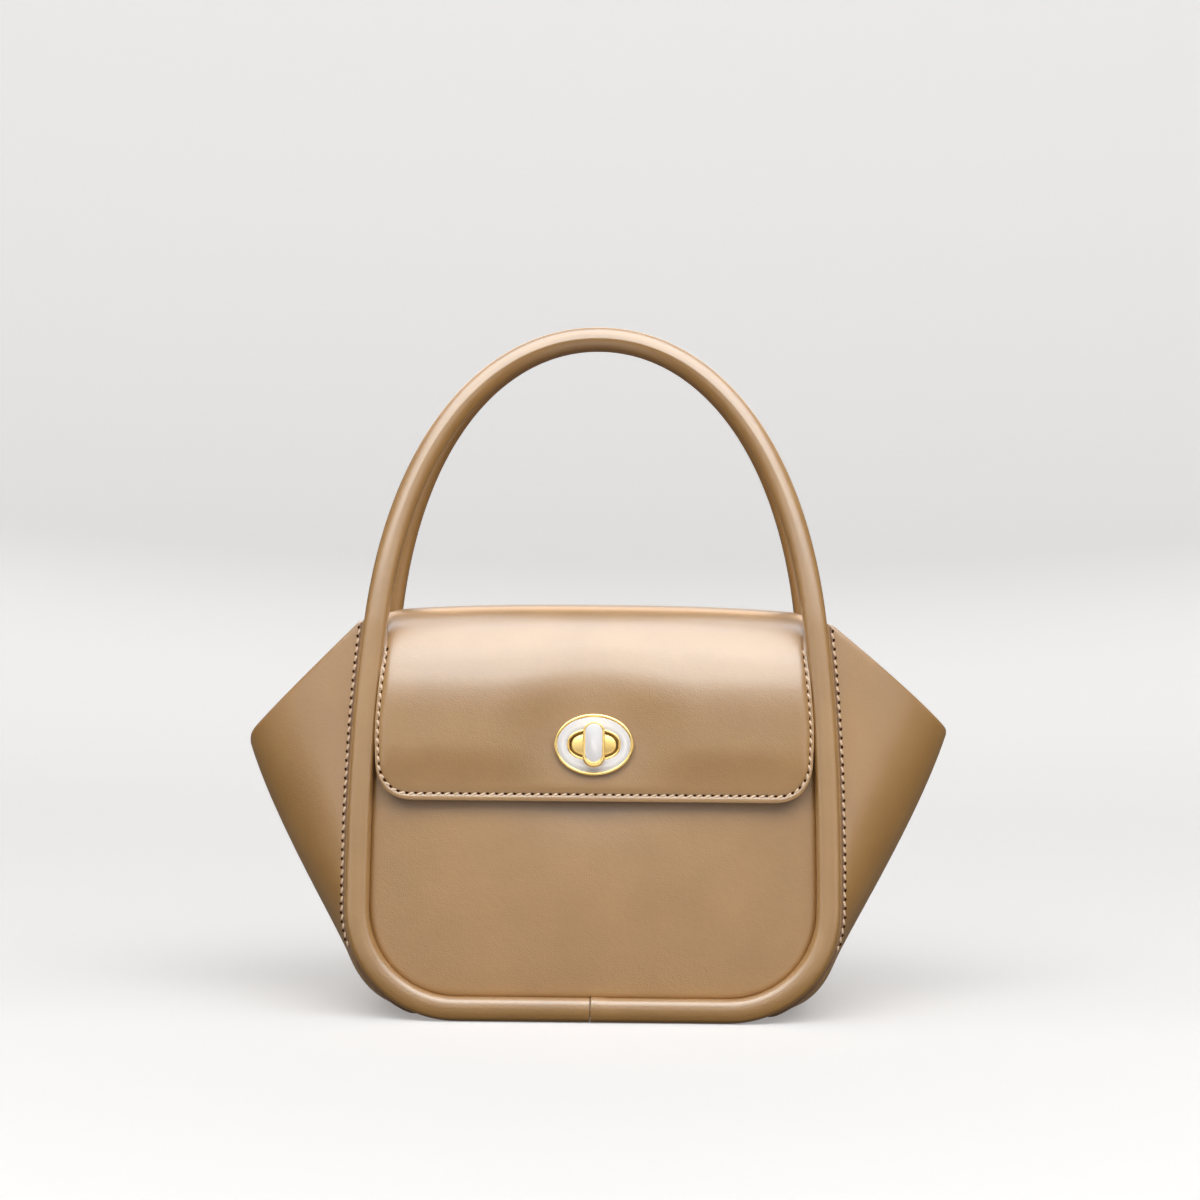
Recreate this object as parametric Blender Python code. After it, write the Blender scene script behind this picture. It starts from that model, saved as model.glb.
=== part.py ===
"""Top handle bag: two leather panels edged with padded tubes that rise into the handles,
a gusset that folds out into a wing on each side, and a front flap with a twist lock.

X runs to the right, Y runs from the front to the back and Z runs up. The origin is on the
floor under the middle of the bag.
"""
import math

import bmesh
import bpy
from mathutils import Vector

MM = 0.001

# Clearances
SEAT_GAP = 0.3 * MM            # between layers and pieces that touch on the real bag
SLIDE_GAP = 0.5 * MM           # between pieces that pass each other
OVERRUN = 2.0 * MM             # how far a cutter stands past what it cuts

# Padded tube that edges each panel and rises into the handle
TUBE_RADIUS = 4.8 * MM
TUBE_WALL = 1.6 * MM
TUBE_SIDES = 12
CORE_SIDES = 6
BASE_HALF_FLAT = 54.4 * MM     # straight run along the floor, to each side
CORNER_RADIUS = 40.0 * MM
CORNER_STEPS = 5
SIDE_STEPS = 5
BASE_DEPTH = 50.0 * MM         # middle of the bag to the tube's centre, at the floor
ROOT_DEPTH = 36.0 * MM         # the same where the handle bends
ROOT_HEIGHT = 160.0 * MM
ROOT_DRAW_IN = 6.0 * MM        # how much nearer the middle the root lies than the side below
ROOT_TAPER_SHARE = 0.12        # how fast the sides draw in at the root, by height
SADDLE_LIP = 0.1 * MM          # the bend's saddle is this much larger than the tube
CORE_SETBACK = 8.0 * MM

# Handle arch
ARCH_HEIGHT = 275.4 * MM       # to the tube's centre
ARCH_RISE = 76.0 * MM          # reach of the curve's lower hold
ARCH_SPREAD = 42.0 * MM        # reach of the curve's upper hold
ARCH_LEAN = 10.0 * MM          # how far the lower hold leans in
ARCH_STEPS = 16
ARCH_TOUCH_GAP = 0.4 * MM      # between the two handles where they meet

# Panels: how far each layer lies behind the tube's centre, and its thickness
PANEL_BEHIND = 1.5 * MM
PANEL_LEATHER = 1.6 * MM
PANEL_TOP = 145.0 * MM
REAR_PANEL_TOP = 144.0 * MM
BOARD_THICKNESS = 1.5 * MM
BOARD_MARGIN = 1.5 * MM
FOAM_THICKNESS = 3.4 * MM
FOAM_MARGIN = 3.0 * MM
LINING_THICKNESS = 1.0 * MM
LINING_MARGIN = 1.0 * MM

# Gusset strip, with its outward fold
GUSSET_LEATHER = 1.6 * MM
BASE_LIFT = 1.5 * MM           # underside of the base above the floor
BASE_SEAM_BACK = 2.4 * MM      # the gusset meets the base panel this far inside the corner
SEAM_LAP = 3.0 * MM            # gusset edge hidden behind the tube
FLANGE_REACH = 6.6 * MM        # gusset edge past the tube's centre
FLANGE_CHAMFER = 2.5 * MM
WING_ROOT_HEIGHT = 159.0 * MM
WING_TIP_REACH = 49.4 * MM     # the fold's places, measured outward from the side tube's centre
WING_TIP_HEIGHT = 112.0 * MM
WING_BELLY_REACH = 42.4 * MM
WING_BELLY_HEIGHT = 80.0 * MM
WING_FOOT_REACH = 0.9 * MM
WING_FOOT_HEIGHT = 8.5 * MM
WING_HEEL_REACH = -3.4 * MM
WING_HEEL_START = -14.4 * MM
WING_SIDE_STEPS = 6
WING_SPAN_STEPS = 5
WING_LEAVE_SHARE = 0.45        # how far the leather leaves the seam before it turns back
WING_LEAVE_DEPTH_SHARE = 0.1
WING_FOLD_SHARE = 0.3          # roundness of the fold, as a share of the half depth
BASE_BOARD_THICKNESS = 2.0 * MM
POCKET_HALF_WIDTH = 55.0 * MM
POCKET_LOW = 40.0 * MM
POCKET_HIGH = 120.0 * MM
POCKET_THICKNESS = 1.0 * MM

# Flap
FLAP_AIR = 3.0 * MM            # between the panel and the flap's lining
FLAP_LINING = 1.0 * MM
FLAP_FOAM = 1.0 * MM
FLAP_LEATHER = 1.6 * MM
FLAP_BOTTOM = 87.0 * MM
LOCK_RISE = 23.0 * MM          # the lock's centre above the flap's lower edge
FLAP_CORNER_RADIUS = 12.0 * MM
FLAP_CORNER_STEPS = 5
FLAP_NECK_GAP = 1.2 * MM       # between the flap and the handle's roots, at the bend
FLAP_NECK = 6.0 * MM           # keeps that width for this far down
FLAP_SPREAD = 8.0 * MM         # widens over this much more
FLAP_FOAM_MARGIN = 4.0 * MM
FLAP_TOP_HEIGHT = 164.5 * MM
FLAT_ABOVE_LOCK = 12.0 * MM    # the flap stays flat this far above the lock's backing
ROLL_LOW_SHARE = 0.54          # reach of the roll's lower hold, as a share of its height
ROLL_TOP_HOLD = 16.0 * MM
ROLL_STEPS = 5
ROOF_FRONT = 15.0 * MM         # the roof is level from here, in front of the middle
ROOF_REAR = 10.0 * MM          # to here, behind it
LAP_TOP = 142.0 * MM
LAP_BOTTOM = 126.0 * MM
LAP_HOLD = 13.0 * MM
HINGE_GAP = 1.4 * MM           # from the bend's axis to the fixed part of the flap
BEND_SETBACK = 3.5 * MM        # inner layers stop this far from the bend

# Twist lock: oval sizes are half widths and half heights
PLATE_OVAL = (15.9 * MM, 12.3 * MM)
PLATE_HOLE_OVAL = (9.6 * MM, 6.0 * MM)
WINDOW_MARGIN = 1.3 * MM       # the flap's window and the backing are this much wider than the hole
PLATE_THICKNESS = 2.0 * MM
PLATE_RIM = 1.2 * MM
INLAY_DEPTH = 0.9 * MM
BACKING_OVAL = (15.6 * MM, 11.0 * MM)
BACKING_THICKNESS = 0.8 * MM
FLANGE_OVAL = (10.6 * MM, 10.2 * MM)
FLANGE_THICKNESS = 1.2 * MM
BOSS_OVAL = (9.0 * MM, 5.2 * MM)
BOSS_RISE = 9.7 * MM           # above the panel
BOSS_DOME = 0.9 * MM
KNOB_OVAL = (4.5 * MM, 8.9 * MM)
KNOB_RISE = 10.1 * MM
KNOB_THICKNESS = 2.8 * MM
KNOB_RIM = 0.9 * MM
STEM_RADIUS = 2.5 * MM
STEM_GROOVE = 0.5 * MM
STEM_END = 0.7 * MM            # stem past the clip
BACKPLATE_OVAL = (12.0 * MM, 10.5 * MM)
BACKPLATE_THICKNESS = 0.8 * MM
SPRING_RADIUS = 5.0 * MM
SPRING_THICKNESS = 0.4 * MM
CLIP_RADIUS = 4.0 * MM
CLIP_THICKNESS = 0.8 * MM
CLIP_OPENING = 1.6 * MM
RIVET_RADIUS = 1.0 * MM
RIVET_RISE = 8.0 * MM          # above and below the lock's centre
RIVET_HEAD_RADIUS = 1.6 * MM
RIVET_HEAD = 0.6 * MM
SCREW_RADIUS = 0.8 * MM
SCREW_REACH = 13.2 * MM        # to each side of the lock's centre
SCREW_HEAD_RADIUS = 1.9 * MM
SCREW_HEAD = 0.8 * MM
SCREW_BITE = 1.0 * MM          # into the plate
LOCK_BED_MARGIN = 1.5 * MM     # foam kept clear round the lock's back
OVAL_STEPS = 24
ROUND_STEPS = 12
CUTTER_TURN = 0.37             # keeps a cutter's corners off the edges that it cuts

COLOURS = {
    "leather": ((0.43, 0.26, 0.13), 0.42, 0.0),
    "lining": ((0.30, 0.19, 0.11), 0.85, 0.0),
    "board": ((0.25, 0.23, 0.20), 0.80, 0.0),
    "foam": ((0.75, 0.73, 0.68), 0.95, 0.0),
    "core": ((0.70, 0.66, 0.56), 0.90, 0.0),
    "gold": ((0.83, 0.58, 0.25), 0.22, 1.0),
    "enamel": ((0.86, 0.84, 0.80), 0.15, 0.0),
    "steel": ((0.55, 0.55, 0.56), 0.30, 1.0),
}

FRONT = -1
REAR = 1
LEFT = -1
RIGHT = 1
Y_AXIS = Vector((0, 1, 0))
LEAN = math.atan2(BASE_DEPTH - ROOT_DEPTH, ROOT_HEIGHT - TUBE_RADIUS)
RING_RADIUS = TUBE_RADIUS / math.cos(math.pi / TUBE_SIDES)
SIDE_HALF_WIDTH = BASE_HALF_FLAT + CORNER_RADIUS
ROOT_HALF_WIDTH = SIDE_HALF_WIDTH - ROOT_DRAW_IN
BASE_SEAM = BASE_HALF_FLAT - BASE_SEAM_BACK
FLAP_NECK_HALF_WIDTH = ROOT_HALF_WIDTH - RING_RADIUS - FLAP_NECK_GAP
LOCK_HEIGHT = FLAP_BOTTOM + LOCK_RISE
ROLL_START_HEIGHT = LOCK_HEIGHT + BACKING_OVAL[1] + FLAT_ABOVE_LOCK


def clear_scene():
    for item in list(bpy.data.objects):
        bpy.data.objects.remove(item, do_unlink=True)


def finish_of(name):
    """The material of that name, made once."""
    if name in bpy.data.materials:
        return bpy.data.materials[name]
    colour, roughness, metallic = COLOURS[name]
    material = bpy.data.materials.new(name)
    material.use_nodes = True
    shader = material.node_tree.nodes["Principled BSDF"]
    shader.inputs["Base Color"].default_value = (*colour, 1.0)
    shader.inputs["Roughness"].default_value = roughness
    shader.inputs["Metallic"].default_value = metallic
    return material


def add_object(name, bm, finish):
    bmesh.ops.recalc_face_normals(bm, faces=bm.faces)
    mesh = bpy.data.meshes.new(name)
    bm.to_mesh(mesh)
    bm.free()
    mesh.materials.append(finish_of(finish))
    mesh.shade_smooth()
    mesh.set_sharp_from_angle(angle=math.radians(40))
    item = bpy.data.objects.new(name, mesh)
    bpy.context.scene.collection.objects.link(item)
    return item


def loft(name, loops, finish, ring=False):
    """Skins loops of equally many points, closed into a ring or capped at both ends."""
    bm = bmesh.new()
    rows = [[bm.verts.new(point) for point in loop] for loop in loops]
    pairs = list(zip(rows, rows[1:]))
    if ring:
        pairs.append((rows[-1], rows[0]))
    for low, high in pairs:
        for i in range(len(low)):
            j = (i + 1) % len(low)
            bm.faces.new((low[i], low[j], high[j], high[i]))
    if not ring:
        bm.faces.new(rows[0])
        bm.faces.new(rows[-1])
    return add_object(name, bm, finish)


def sheet(name, grid, shallow, deep, finish):
    """A sheet that follows a grid of outer points, from one depth below it to another."""
    bm = bmesh.new()
    rows, columns = len(grid), len(grid[0])

    def inward(i, j):
        down = grid[min(i + 1, rows - 1)][j] - grid[max(i - 1, 0)][j]
        across = grid[i][min(j + 1, columns - 1)] - grid[i][max(j - 1, 0)]
        return down.cross(across).normalized()

    skins = []
    for depth in (shallow, deep):
        skins.append([[bm.verts.new(grid[i][j] + inward(i, j) * depth) for j in range(columns)]
                      for i in range(rows)])
    for skin in skins:
        for i in range(rows - 1):
            for j in range(columns - 1):
                bm.faces.new((skin[i][j], skin[i][j + 1], skin[i + 1][j + 1], skin[i + 1][j]))
    rim = [(i, 0) for i in range(rows)] + [(rows - 1, j) for j in range(1, columns)]
    rim += [(i, columns - 1) for i in range(rows - 2, -1, -1)] + [(0, j) for j in range(columns - 2, 0, -1)]
    for (a, b), (c, d) in zip(rim, rim[1:] + rim[:1]):
        bm.faces.new((skins[0][a][b], skins[0][c][d], skins[1][c][d], skins[1][a][b]))
    return add_object(name, bm, finish)


def cut(item, cutter):
    modifier = item.modifiers.new("cut_" + cutter.name, "BOOLEAN")
    modifier.operation = "DIFFERENCE"
    modifier.solver = "EXACT"
    modifier.object = cutter
    cutter.hide_render = True
    cutter.display_type = "WIRE"


def bezier(points, share):
    """The point of a Bezier curve of any degree at a share of its run."""
    while len(points) > 1:
        points = [a.lerp(b, share) for a, b in zip(points, points[1:])]
    return points[0]


def curve(points, steps):
    return [bezier(points, i / steps) for i in range(steps + 1)]


def run_length(points):
    return sum((b - a).length for a, b in zip(points, points[1:]))


def walk(points, distance):
    """The point that lies a distance along a chain of points."""
    for a, b in zip(points, points[1:]):
        step = (b - a).length
        if distance < step:
            return a.lerp(b, distance / step)
        distance -= step
    return points[-1]


def depth_at(height):
    """Middle of the bag to the tube's centre, at a height."""
    share = (height - TUBE_RADIUS) / (ROOT_HEIGHT - TUBE_RADIUS)
    return BASE_DEPTH + (ROOT_DEPTH - BASE_DEPTH) * share


def side_points(steps):
    """Centre of the right side's tube as (x, z), from the corner up to the handle's root."""
    low = Vector((SIDE_HALF_WIDTH, TUBE_RADIUS + CORNER_RADIUS))
    high = Vector((ROOT_HALF_WIDTH, ROOT_HEIGHT))
    hold = (high.y - low.y) / 3
    return curve([low, low + Vector((0, hold)),
                  high - Vector((-ROOT_TAPER_SHARE, 1)) * hold, high], steps)


def half_width_at(height):
    """Half width to the tube's centre, above the corners."""
    points = side_points(SIDE_STEPS)
    for a, b in zip(points, points[1:]):
        if height <= b.y:
            break
    return a.x + (b.x - a.x) * (height - a.y) / (b.y - a.y)


def corner_points(inset, steps):
    """The lower right corner as (x, z), drawn in by an inset, from the floor up."""
    centre = Vector((BASE_HALF_FLAT, TUBE_RADIUS + CORNER_RADIUS))
    return [centre + (CORNER_RADIUS - inset) * Vector((math.sin(a), -math.cos(a)))
            for a in (math.pi / 2 * i / steps for i in range(steps + 1))]


def in_depth(point, facing):
    """A point of the loop's outline, (x, z), at the depth of that side's tube."""
    return Vector((point.x, facing * depth_at(point.y), point.y))


def trim_path(facing):
    """Down the left side, along the floor and up the right side."""
    right = corner_points(0, CORNER_STEPS) + side_points(SIDE_STEPS)[1:]
    left = [Vector((-p.x, p.y)) for p in reversed(right)]
    return [in_depth(p, facing) for p in left + right]


def handle_path(facing):
    """From the right root over the top to the left root."""
    touch = TUBE_RADIUS + ARCH_TOUCH_GAP / 2
    root = Vector((ROOT_HALF_WIDTH, facing * ROOT_DEPTH, ROOT_HEIGHT))
    low_hold = root + Vector((-ROOT_TAPER_SHARE * ARCH_RISE, -facing * ARCH_LEAN, ARCH_RISE))
    top_hold = Vector((ARCH_SPREAD, facing * touch, ARCH_HEIGHT))
    top = Vector((0, facing * touch, ARCH_HEIGHT))
    right = curve([root, low_hold, top_hold, top], ARCH_STEPS // 2)
    left = [Vector((-p.x, p.y, p.z)) for p in reversed(right[:-1])]
    return right + left


def saddle_reach(offset, along, radius):
    """How far along a tube a point of its ring meets the round bend at the root."""
    a = along.y ** 2 + along.z ** 2
    b = offset.y * along.y + offset.z * along.z
    c = offset.y ** 2 + offset.z ** 2 - radius ** 2
    return (-b + math.sqrt(max(b * b - a * c, 0))) / a


def rings(path, radius, sides, saddle=None):
    """Rings of points round a path, with flats facing down, out and to the front.

    A saddle radius carries both end rings out to a round bend about the root.
    """
    loops = []
    for i, centre in enumerate(path):
        along = (path[min(i + 1, len(path) - 1)] - path[max(i - 1, 0)]).normalized()
        out = Y_AXIS.cross(along).normalized()
        back = along.cross(out)
        loop = []
        for k in range(sides):
            angle = math.tau * (k + 0.5) / sides
            reach = radius / math.cos(math.pi / sides)
            offset = (out * math.cos(angle) + back * math.sin(angle)) * reach
            if saddle and i in (0, len(path) - 1):
                up = along if along.z > 0 else -along
                offset += up * saddle_reach(offset, up, saddle)
            loop.append(centre + offset)
        loops.append(loop)
    return loops


def shortened(path, setback):
    """The path with its end points moved in by a setback."""
    first = path[0] + (path[1] - path[0]).normalized() * setback
    last = path[-1] + (path[-2] - path[-1]).normalized() * setback
    return [first] + path[1:-1] + [last]


def make_tube(name, path, saddle, core_setback):
    """A leather tube with a soft core; the tube is open at both ends."""
    outer = rings(path, TUBE_RADIUS, TUBE_SIDES, saddle)
    inner = rings(path, TUBE_RADIUS - TUBE_WALL, TUBE_SIDES, saddle)
    loft(name, outer + inner[::-1], "leather", ring=True)
    core_path = shortened(path, core_setback)
    corner_reach = TUBE_RADIUS - TUBE_WALL - SEAT_GAP
    core_radius = corner_reach * math.cos(math.pi / CORE_SIDES)
    loft(name + "_core", rings(core_path, core_radius, CORE_SIDES), "core")


def make_tubes():
    saddle = RING_RADIUS + SADDLE_LIP
    for side, facing in (("front", FRONT), ("rear", REAR)):
        make_tube(side + "_trim", trim_path(facing), saddle, SEAT_GAP)
        make_tube(side + "_handle", handle_path(facing), saddle + SLIDE_GAP, CORE_SETBACK)


def layer_outline(inset, top):
    """The panel's outline as (x, z), drawn in from the tube's centre, up to a level top."""
    corner = corner_points(inset, CORNER_STEPS)
    sides = [Vector((p.x - inset, p.y)) for p in side_points(SIDE_STEPS)[1:] if p.y < top]
    right = corner + sides + [Vector((half_width_at(top) - inset, top))]
    return right + [Vector((-p.x, p.y)) for p in reversed(right)]


def layer(name, facing, inset, top, behind, thickness, finish):
    """One flat layer of a panel; behind is its outer face, measured from the tube's centre."""
    outline = layer_outline(inset, top)
    loops = [[Vector((p.x, facing * (depth_at(p.y) - level), p.y)) for p in outline]
             for level in (behind, behind + thickness)]
    return loft(name, loops, finish)


def panel_levels():
    """How far behind the tube's centre each layer of a panel starts."""
    board = PANEL_BEHIND + PANEL_LEATHER + SEAT_GAP
    foam = board + BOARD_THICKNESS + SEAT_GAP
    return board, foam, foam + FOAM_THICKNESS + SEAT_GAP


def make_panels():
    """Leather, stiffening board and lining of both sides, with a foam bed for the lock."""
    edge = RING_RADIUS + SEAT_GAP
    board, foam, lining = panel_levels()
    made = {}
    for side, facing, top in (("front", FRONT, PANEL_TOP), ("rear", REAR, REAR_PANEL_TOP)):
        made[side + "_panel"] = layer(side + "_panel", facing, edge, top, PANEL_BEHIND,
                                      PANEL_LEATHER, "leather")
        made[side + "_board"] = layer(side + "_board", facing, edge + BOARD_MARGIN,
                                      top - BOARD_MARGIN, board, BOARD_THICKNESS, "board")
        behind = lining if facing == FRONT else foam
        layer(side + "_lining", facing, edge + LINING_MARGIN, top, behind, LINING_THICKNESS, "lining")
    made["front_foam"] = layer("front_foam", FRONT, edge + FOAM_MARGIN, PANEL_TOP - FOAM_MARGIN,
                               foam, FOAM_THICKNESS, "foam")
    make_pocket(foam + LINING_THICKNESS + SEAT_GAP)
    return made


def make_pocket(behind):
    """A flat slip pocket sewn to the rear lining."""
    outline = [(-POCKET_HALF_WIDTH, POCKET_LOW), (POCKET_HALF_WIDTH, POCKET_LOW),
               (POCKET_HALF_WIDTH, POCKET_HIGH), (-POCKET_HALF_WIDTH, POCKET_HIGH)]
    loops = [[Vector((x, depth_at(z) - level, z)) for x, z in outline]
             for level in (behind, behind + POCKET_THICKNESS)]
    loft("rear_pocket", loops, "lining")


def fold_points():
    """The gusset's middle line on the right as (x, z), from the base seam to the wing's tip."""
    def at(reach, height):
        return Vector((SIDE_HALF_WIDTH + reach, height))
    foot = at(WING_FOOT_REACH, WING_FOOT_HEIGHT)
    heel = curve([at(WING_HEEL_START, BASE_LIFT), at(WING_HEEL_REACH, BASE_LIFT), foot],
                 CORNER_STEPS)
    fold = curve([foot, at(WING_BELLY_REACH, WING_BELLY_HEIGHT),
                  at(WING_TIP_REACH, WING_TIP_HEIGHT)], 2 * WING_SIDE_STEPS)
    return [Vector((BASE_SEAM, BASE_LIFT))] + heel + fold[1:]


def seam_points():
    """The right gusset's seam on the tube's centre line, as (x, z) with the outward normal."""
    floor = Vector((0, -1))
    found = [(Vector((BASE_SEAM, TUBE_RADIUS)), floor)]
    for i, point in enumerate(corner_points(0, CORNER_STEPS)):
        angle = math.pi / 2 * i / CORNER_STEPS
        found.append((point, Vector((math.sin(angle), -math.cos(angle)))))
    side = side_points(SIDE_STEPS)
    low = side[0]
    for i in range(1, WING_SIDE_STEPS + 1):
        height = low.y + (WING_ROOT_HEIGHT - low.y) * i / WING_SIDE_STEPS
        here = Vector((half_width_at(height), height))
        taper = ROOT_TAPER_SHARE * i / WING_SIDE_STEPS
        found.append((here, Vector((1, taper)).normalized()))
    return found


def gusset_section(seam, normal, fold):
    """Half of one section, from the hidden edge behind the front tube to the fold."""
    face = depth_at(seam.y) - TUBE_RADIUS - SEAT_GAP
    reach = FLANGE_REACH
    if normal.y < 0:
        reach = min(reach, (seam.y - BASE_LIFT) / -normal.y)
    lip = seam + normal * reach
    leave = lip.lerp(fold, WING_LEAVE_SHARE)
    hold = [Vector((lip.x, -face, lip.y)),
            Vector((leave.x, -face * (1 - WING_LEAVE_DEPTH_SHARE), leave.y)),
            Vector((fold.x, -face * WING_FOLD_SHARE, fold.y)),
            Vector((fold.x, 0, fold.y))]
    span = curve(hold, WING_SPAN_STEPS)
    hidden = seam - normal * SEAM_LAP
    edge = Vector((hidden.x, -face, hidden.y))
    before = span[0] + (edge - span[0]).normalized() * FLANGE_CHAMFER
    after = span[0] + (span[1] - span[0]).normalized() * FLANGE_CHAMFER
    return [edge, before, after] + span[1:]


def gusset_grid(side):
    """Outer points of a gusset, row by row from the base seam up to the open top edge."""
    seams = seam_points()
    chain = [seam for seam, _ in seams]
    folds = fold_points()
    ratio = run_length(folds) / run_length(chain)
    grid = []
    for i, (seam, normal) in enumerate(seams):
        fold = walk(folds, run_length(chain[:i + 1]) * ratio)
        half = gusset_section(seam, normal, fold)
        whole = half + [Vector((p.x, -p.y, p.z)) for p in reversed(half[:-1])]
        row = [Vector((side * p.x, p.y, p.z)) for p in whole]
        grid.append(row if side == RIGHT else row[::-1])
    return grid


def make_gussets():
    for name, side in (("left", LEFT), ("right", RIGHT)):
        grid = gusset_grid(side)
        sheet(name + "_gusset", grid, 0, GUSSET_LEATHER, "leather")
        start = GUSSET_LEATHER + SEAT_GAP
        sheet(name + "_gusset_lining", grid, start, start + LINING_THICKNESS, "lining")


def base_row(x):
    half = gusset_section(Vector((x, TUBE_RADIUS)), Vector((0, -1)), Vector((x, BASE_LIFT)))
    return half + [Vector((p.x, -p.y, p.z)) for p in reversed(half[:-1])]


def make_base():
    """The base panel between the two gussets, its board and its lining."""
    end = BASE_SEAM - SEAT_GAP
    sheet("base_panel", [base_row(-end), base_row(end)], 0, GUSSET_LEATHER, "leather")
    half_depth = BASE_DEPTH - TUBE_RADIUS - GUSSET_LEATHER - FLANGE_CHAMFER
    low = BASE_LIFT + GUSSET_LEATHER + SEAT_GAP
    slab("base_board", end, half_depth, low, BASE_BOARD_THICKNESS, "board")
    slab("base_lining", end, half_depth, low + BASE_BOARD_THICKNESS + SEAT_GAP,
         LINING_THICKNESS, "lining")


def slab(name, half_width, half_depth, low, thickness, finish):
    corners = [(-half_width, -half_depth), (half_width, -half_depth),
               (half_width, half_depth), (-half_width, half_depth)]
    loft(name, [[Vector((x, y, z)) for x, y in corners] for z in (low, low + thickness)], finish)


def flap_face(height):
    """Y of the flap's outer face where it hangs flat in front of the panel."""
    build = FLAP_AIR + FLAP_LINING + FLAP_FOAM + FLAP_LEATHER + 2 * SEAT_GAP
    return -(depth_at(height) - PANEL_BEHIND + build)


def roll_points():
    """The flap's front roll as (y, z), from the flat face up to the level roof."""
    start = Vector((flap_face(ROLL_START_HEIGHT), ROLL_START_HEIGHT))
    upward = Vector((math.sin(LEAN), math.cos(LEAN)))
    top = Vector((-ROOF_FRONT, FLAP_TOP_HEIGHT))
    hold = (FLAP_TOP_HEIGHT - ROLL_START_HEIGHT) * ROLL_LOW_SHARE
    return curve([start, start + upward * hold, top - Vector((ROLL_TOP_HOLD, 0)), top],
                 2 * ROLL_STEPS)


def hanging_line():
    """The flap's outer face as (y, z), from the bend down to the free edge."""
    return roll_points()[:ROLL_STEPS + 1][::-1] + [Vector((flap_face(FLAP_BOTTOM), FLAP_BOTTOM))]


def roof_line():
    """The outer face from the bend over the roof and down to the end of the rear lap."""
    def lap_face(height):
        return depth_at(height) - PANEL_BEHIND + SLIDE_GAP + FLAP_LEATHER
    top = Vector((ROOF_REAR, FLAP_TOP_HEIGHT))
    low = Vector((lap_face(LAP_TOP), LAP_TOP))
    upward = Vector((-math.sin(LEAN), math.cos(LEAN)))
    rear_roll = curve([top, top + Vector((ROLL_TOP_HOLD, 0)), low + upward * LAP_HOLD, low],
                      ROLL_STEPS + 2)
    return roll_points()[ROLL_STEPS:] + rear_roll + [Vector((lap_face(LAP_BOTTOM), LAP_BOTTOM))]


def free_half_width(height):
    """Half width between the tubes, less the gap that the flap keeps to them."""
    return half_width_at(height) - RING_RADIUS - SLIDE_GAP


def flap_half_width(distance, height):
    """Narrow by the bend, so that the flap swings clear of the handle, then full width."""
    share = min(max((distance - FLAP_NECK) / FLAP_SPREAD, 0), 1)
    return FLAP_NECK_HALF_WIDTH + (free_half_width(height) - FLAP_NECK_HALF_WIDTH) * share


def flap_rows(start, margin):
    """Rows of one hanging layer, from a distance below the bend to the free edge."""
    line = hanging_line()
    length = run_length(line) - margin
    radius = FLAP_CORNER_RADIUS - margin
    straight = length - radius
    bends = [FLAP_NECK, FLAP_NECK + FLAP_SPREAD / 2, FLAP_NECK + FLAP_SPREAD]
    rolled = [run_length(line[:i + 1]) for i in range(1, ROLL_STEPS + 1)]
    stops = sorted([start] + [d for d in bends + rolled if d > start] + [straight])
    grid = []
    for distance in stops:
        point = walk(line, distance)
        half = flap_half_width(distance, point.y) - margin
        grid.append([Vector((x, point.x, point.y)) for x in (half, -half)])
    for i in range(1, FLAP_CORNER_STEPS + 1):
        angle = math.pi / 2 * i / FLAP_CORNER_STEPS
        point = walk(line, straight + radius * math.sin(angle))
        corner = free_half_width(point.y) - margin - radius * (1 - math.cos(angle))
        grid.append([Vector((x, point.x, point.y)) for x in (corner, -corner)])
    return grid


def roof_rows(start, end_margin):
    """Rows of one layer of the roof, from a distance behind the bend to the rear lap."""
    line = roof_line()
    length = run_length(line) - end_margin
    turns = [run_length(line[:i + 1]) for i in range(1, len(line) - 1)]
    stops = [start] + [d for d in turns if start < d < length] + [length]
    grid = []
    for distance in stops:
        point = walk(line, distance)
        grid.append([Vector((x, point.x, point.y))
                     for x in (-FLAP_NECK_HALF_WIDTH, FLAP_NECK_HALF_WIDTH)])
    return grid


def make_flap():
    """The hanging front in three layers, and the roof with its rear lap in two."""
    leather = sheet("flap_front", flap_rows(0, 0), 0, FLAP_LEATHER, "leather")
    level = FLAP_LEATHER + SEAT_GAP
    foam = sheet("flap_padding", flap_rows(BEND_SETBACK, FLAP_FOAM_MARGIN), level,
                 level + FLAP_FOAM, "foam")
    level += FLAP_FOAM + SEAT_GAP
    lining = sheet("flap_lining", flap_rows(BEND_SETBACK, 0), level, level + FLAP_LINING, "lining")
    sheet("flap_top", roof_rows(HINGE_GAP, 0), 0, FLAP_LEATHER, "leather")
    roof = run_length(roof_line()) - (LAP_TOP - LAP_BOTTOM) - 2 * LAP_HOLD
    level = FLAP_LEATHER + SEAT_GAP
    sheet("flap_top_lining", roof_rows(BEND_SETBACK, run_length(roof_line()) - roof), level,
          level + FLAP_LINING, "lining")
    return leather, foam, lining


def on_lock(item):
    """Places a lock piece: its own front is -Y, measured from the panel's face."""
    item.location = (0, -(depth_at(LOCK_HEIGHT) - PANEL_BEHIND), LOCK_HEIGHT)
    item.rotation_euler.x = -LEAN
    return item


def oval(half_sizes, rise, steps=OVAL_STEPS, at=(0, 0), turn=0.0):
    """An ellipse at a rise in front of the panel; turn moves its points round, in steps."""
    a, b = half_sizes
    return [Vector((at[0] + a * math.cos(t), -rise, at[1] + b * math.sin(t)))
            for t in (math.tau * (i + turn) / steps for i in range(steps))]


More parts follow.
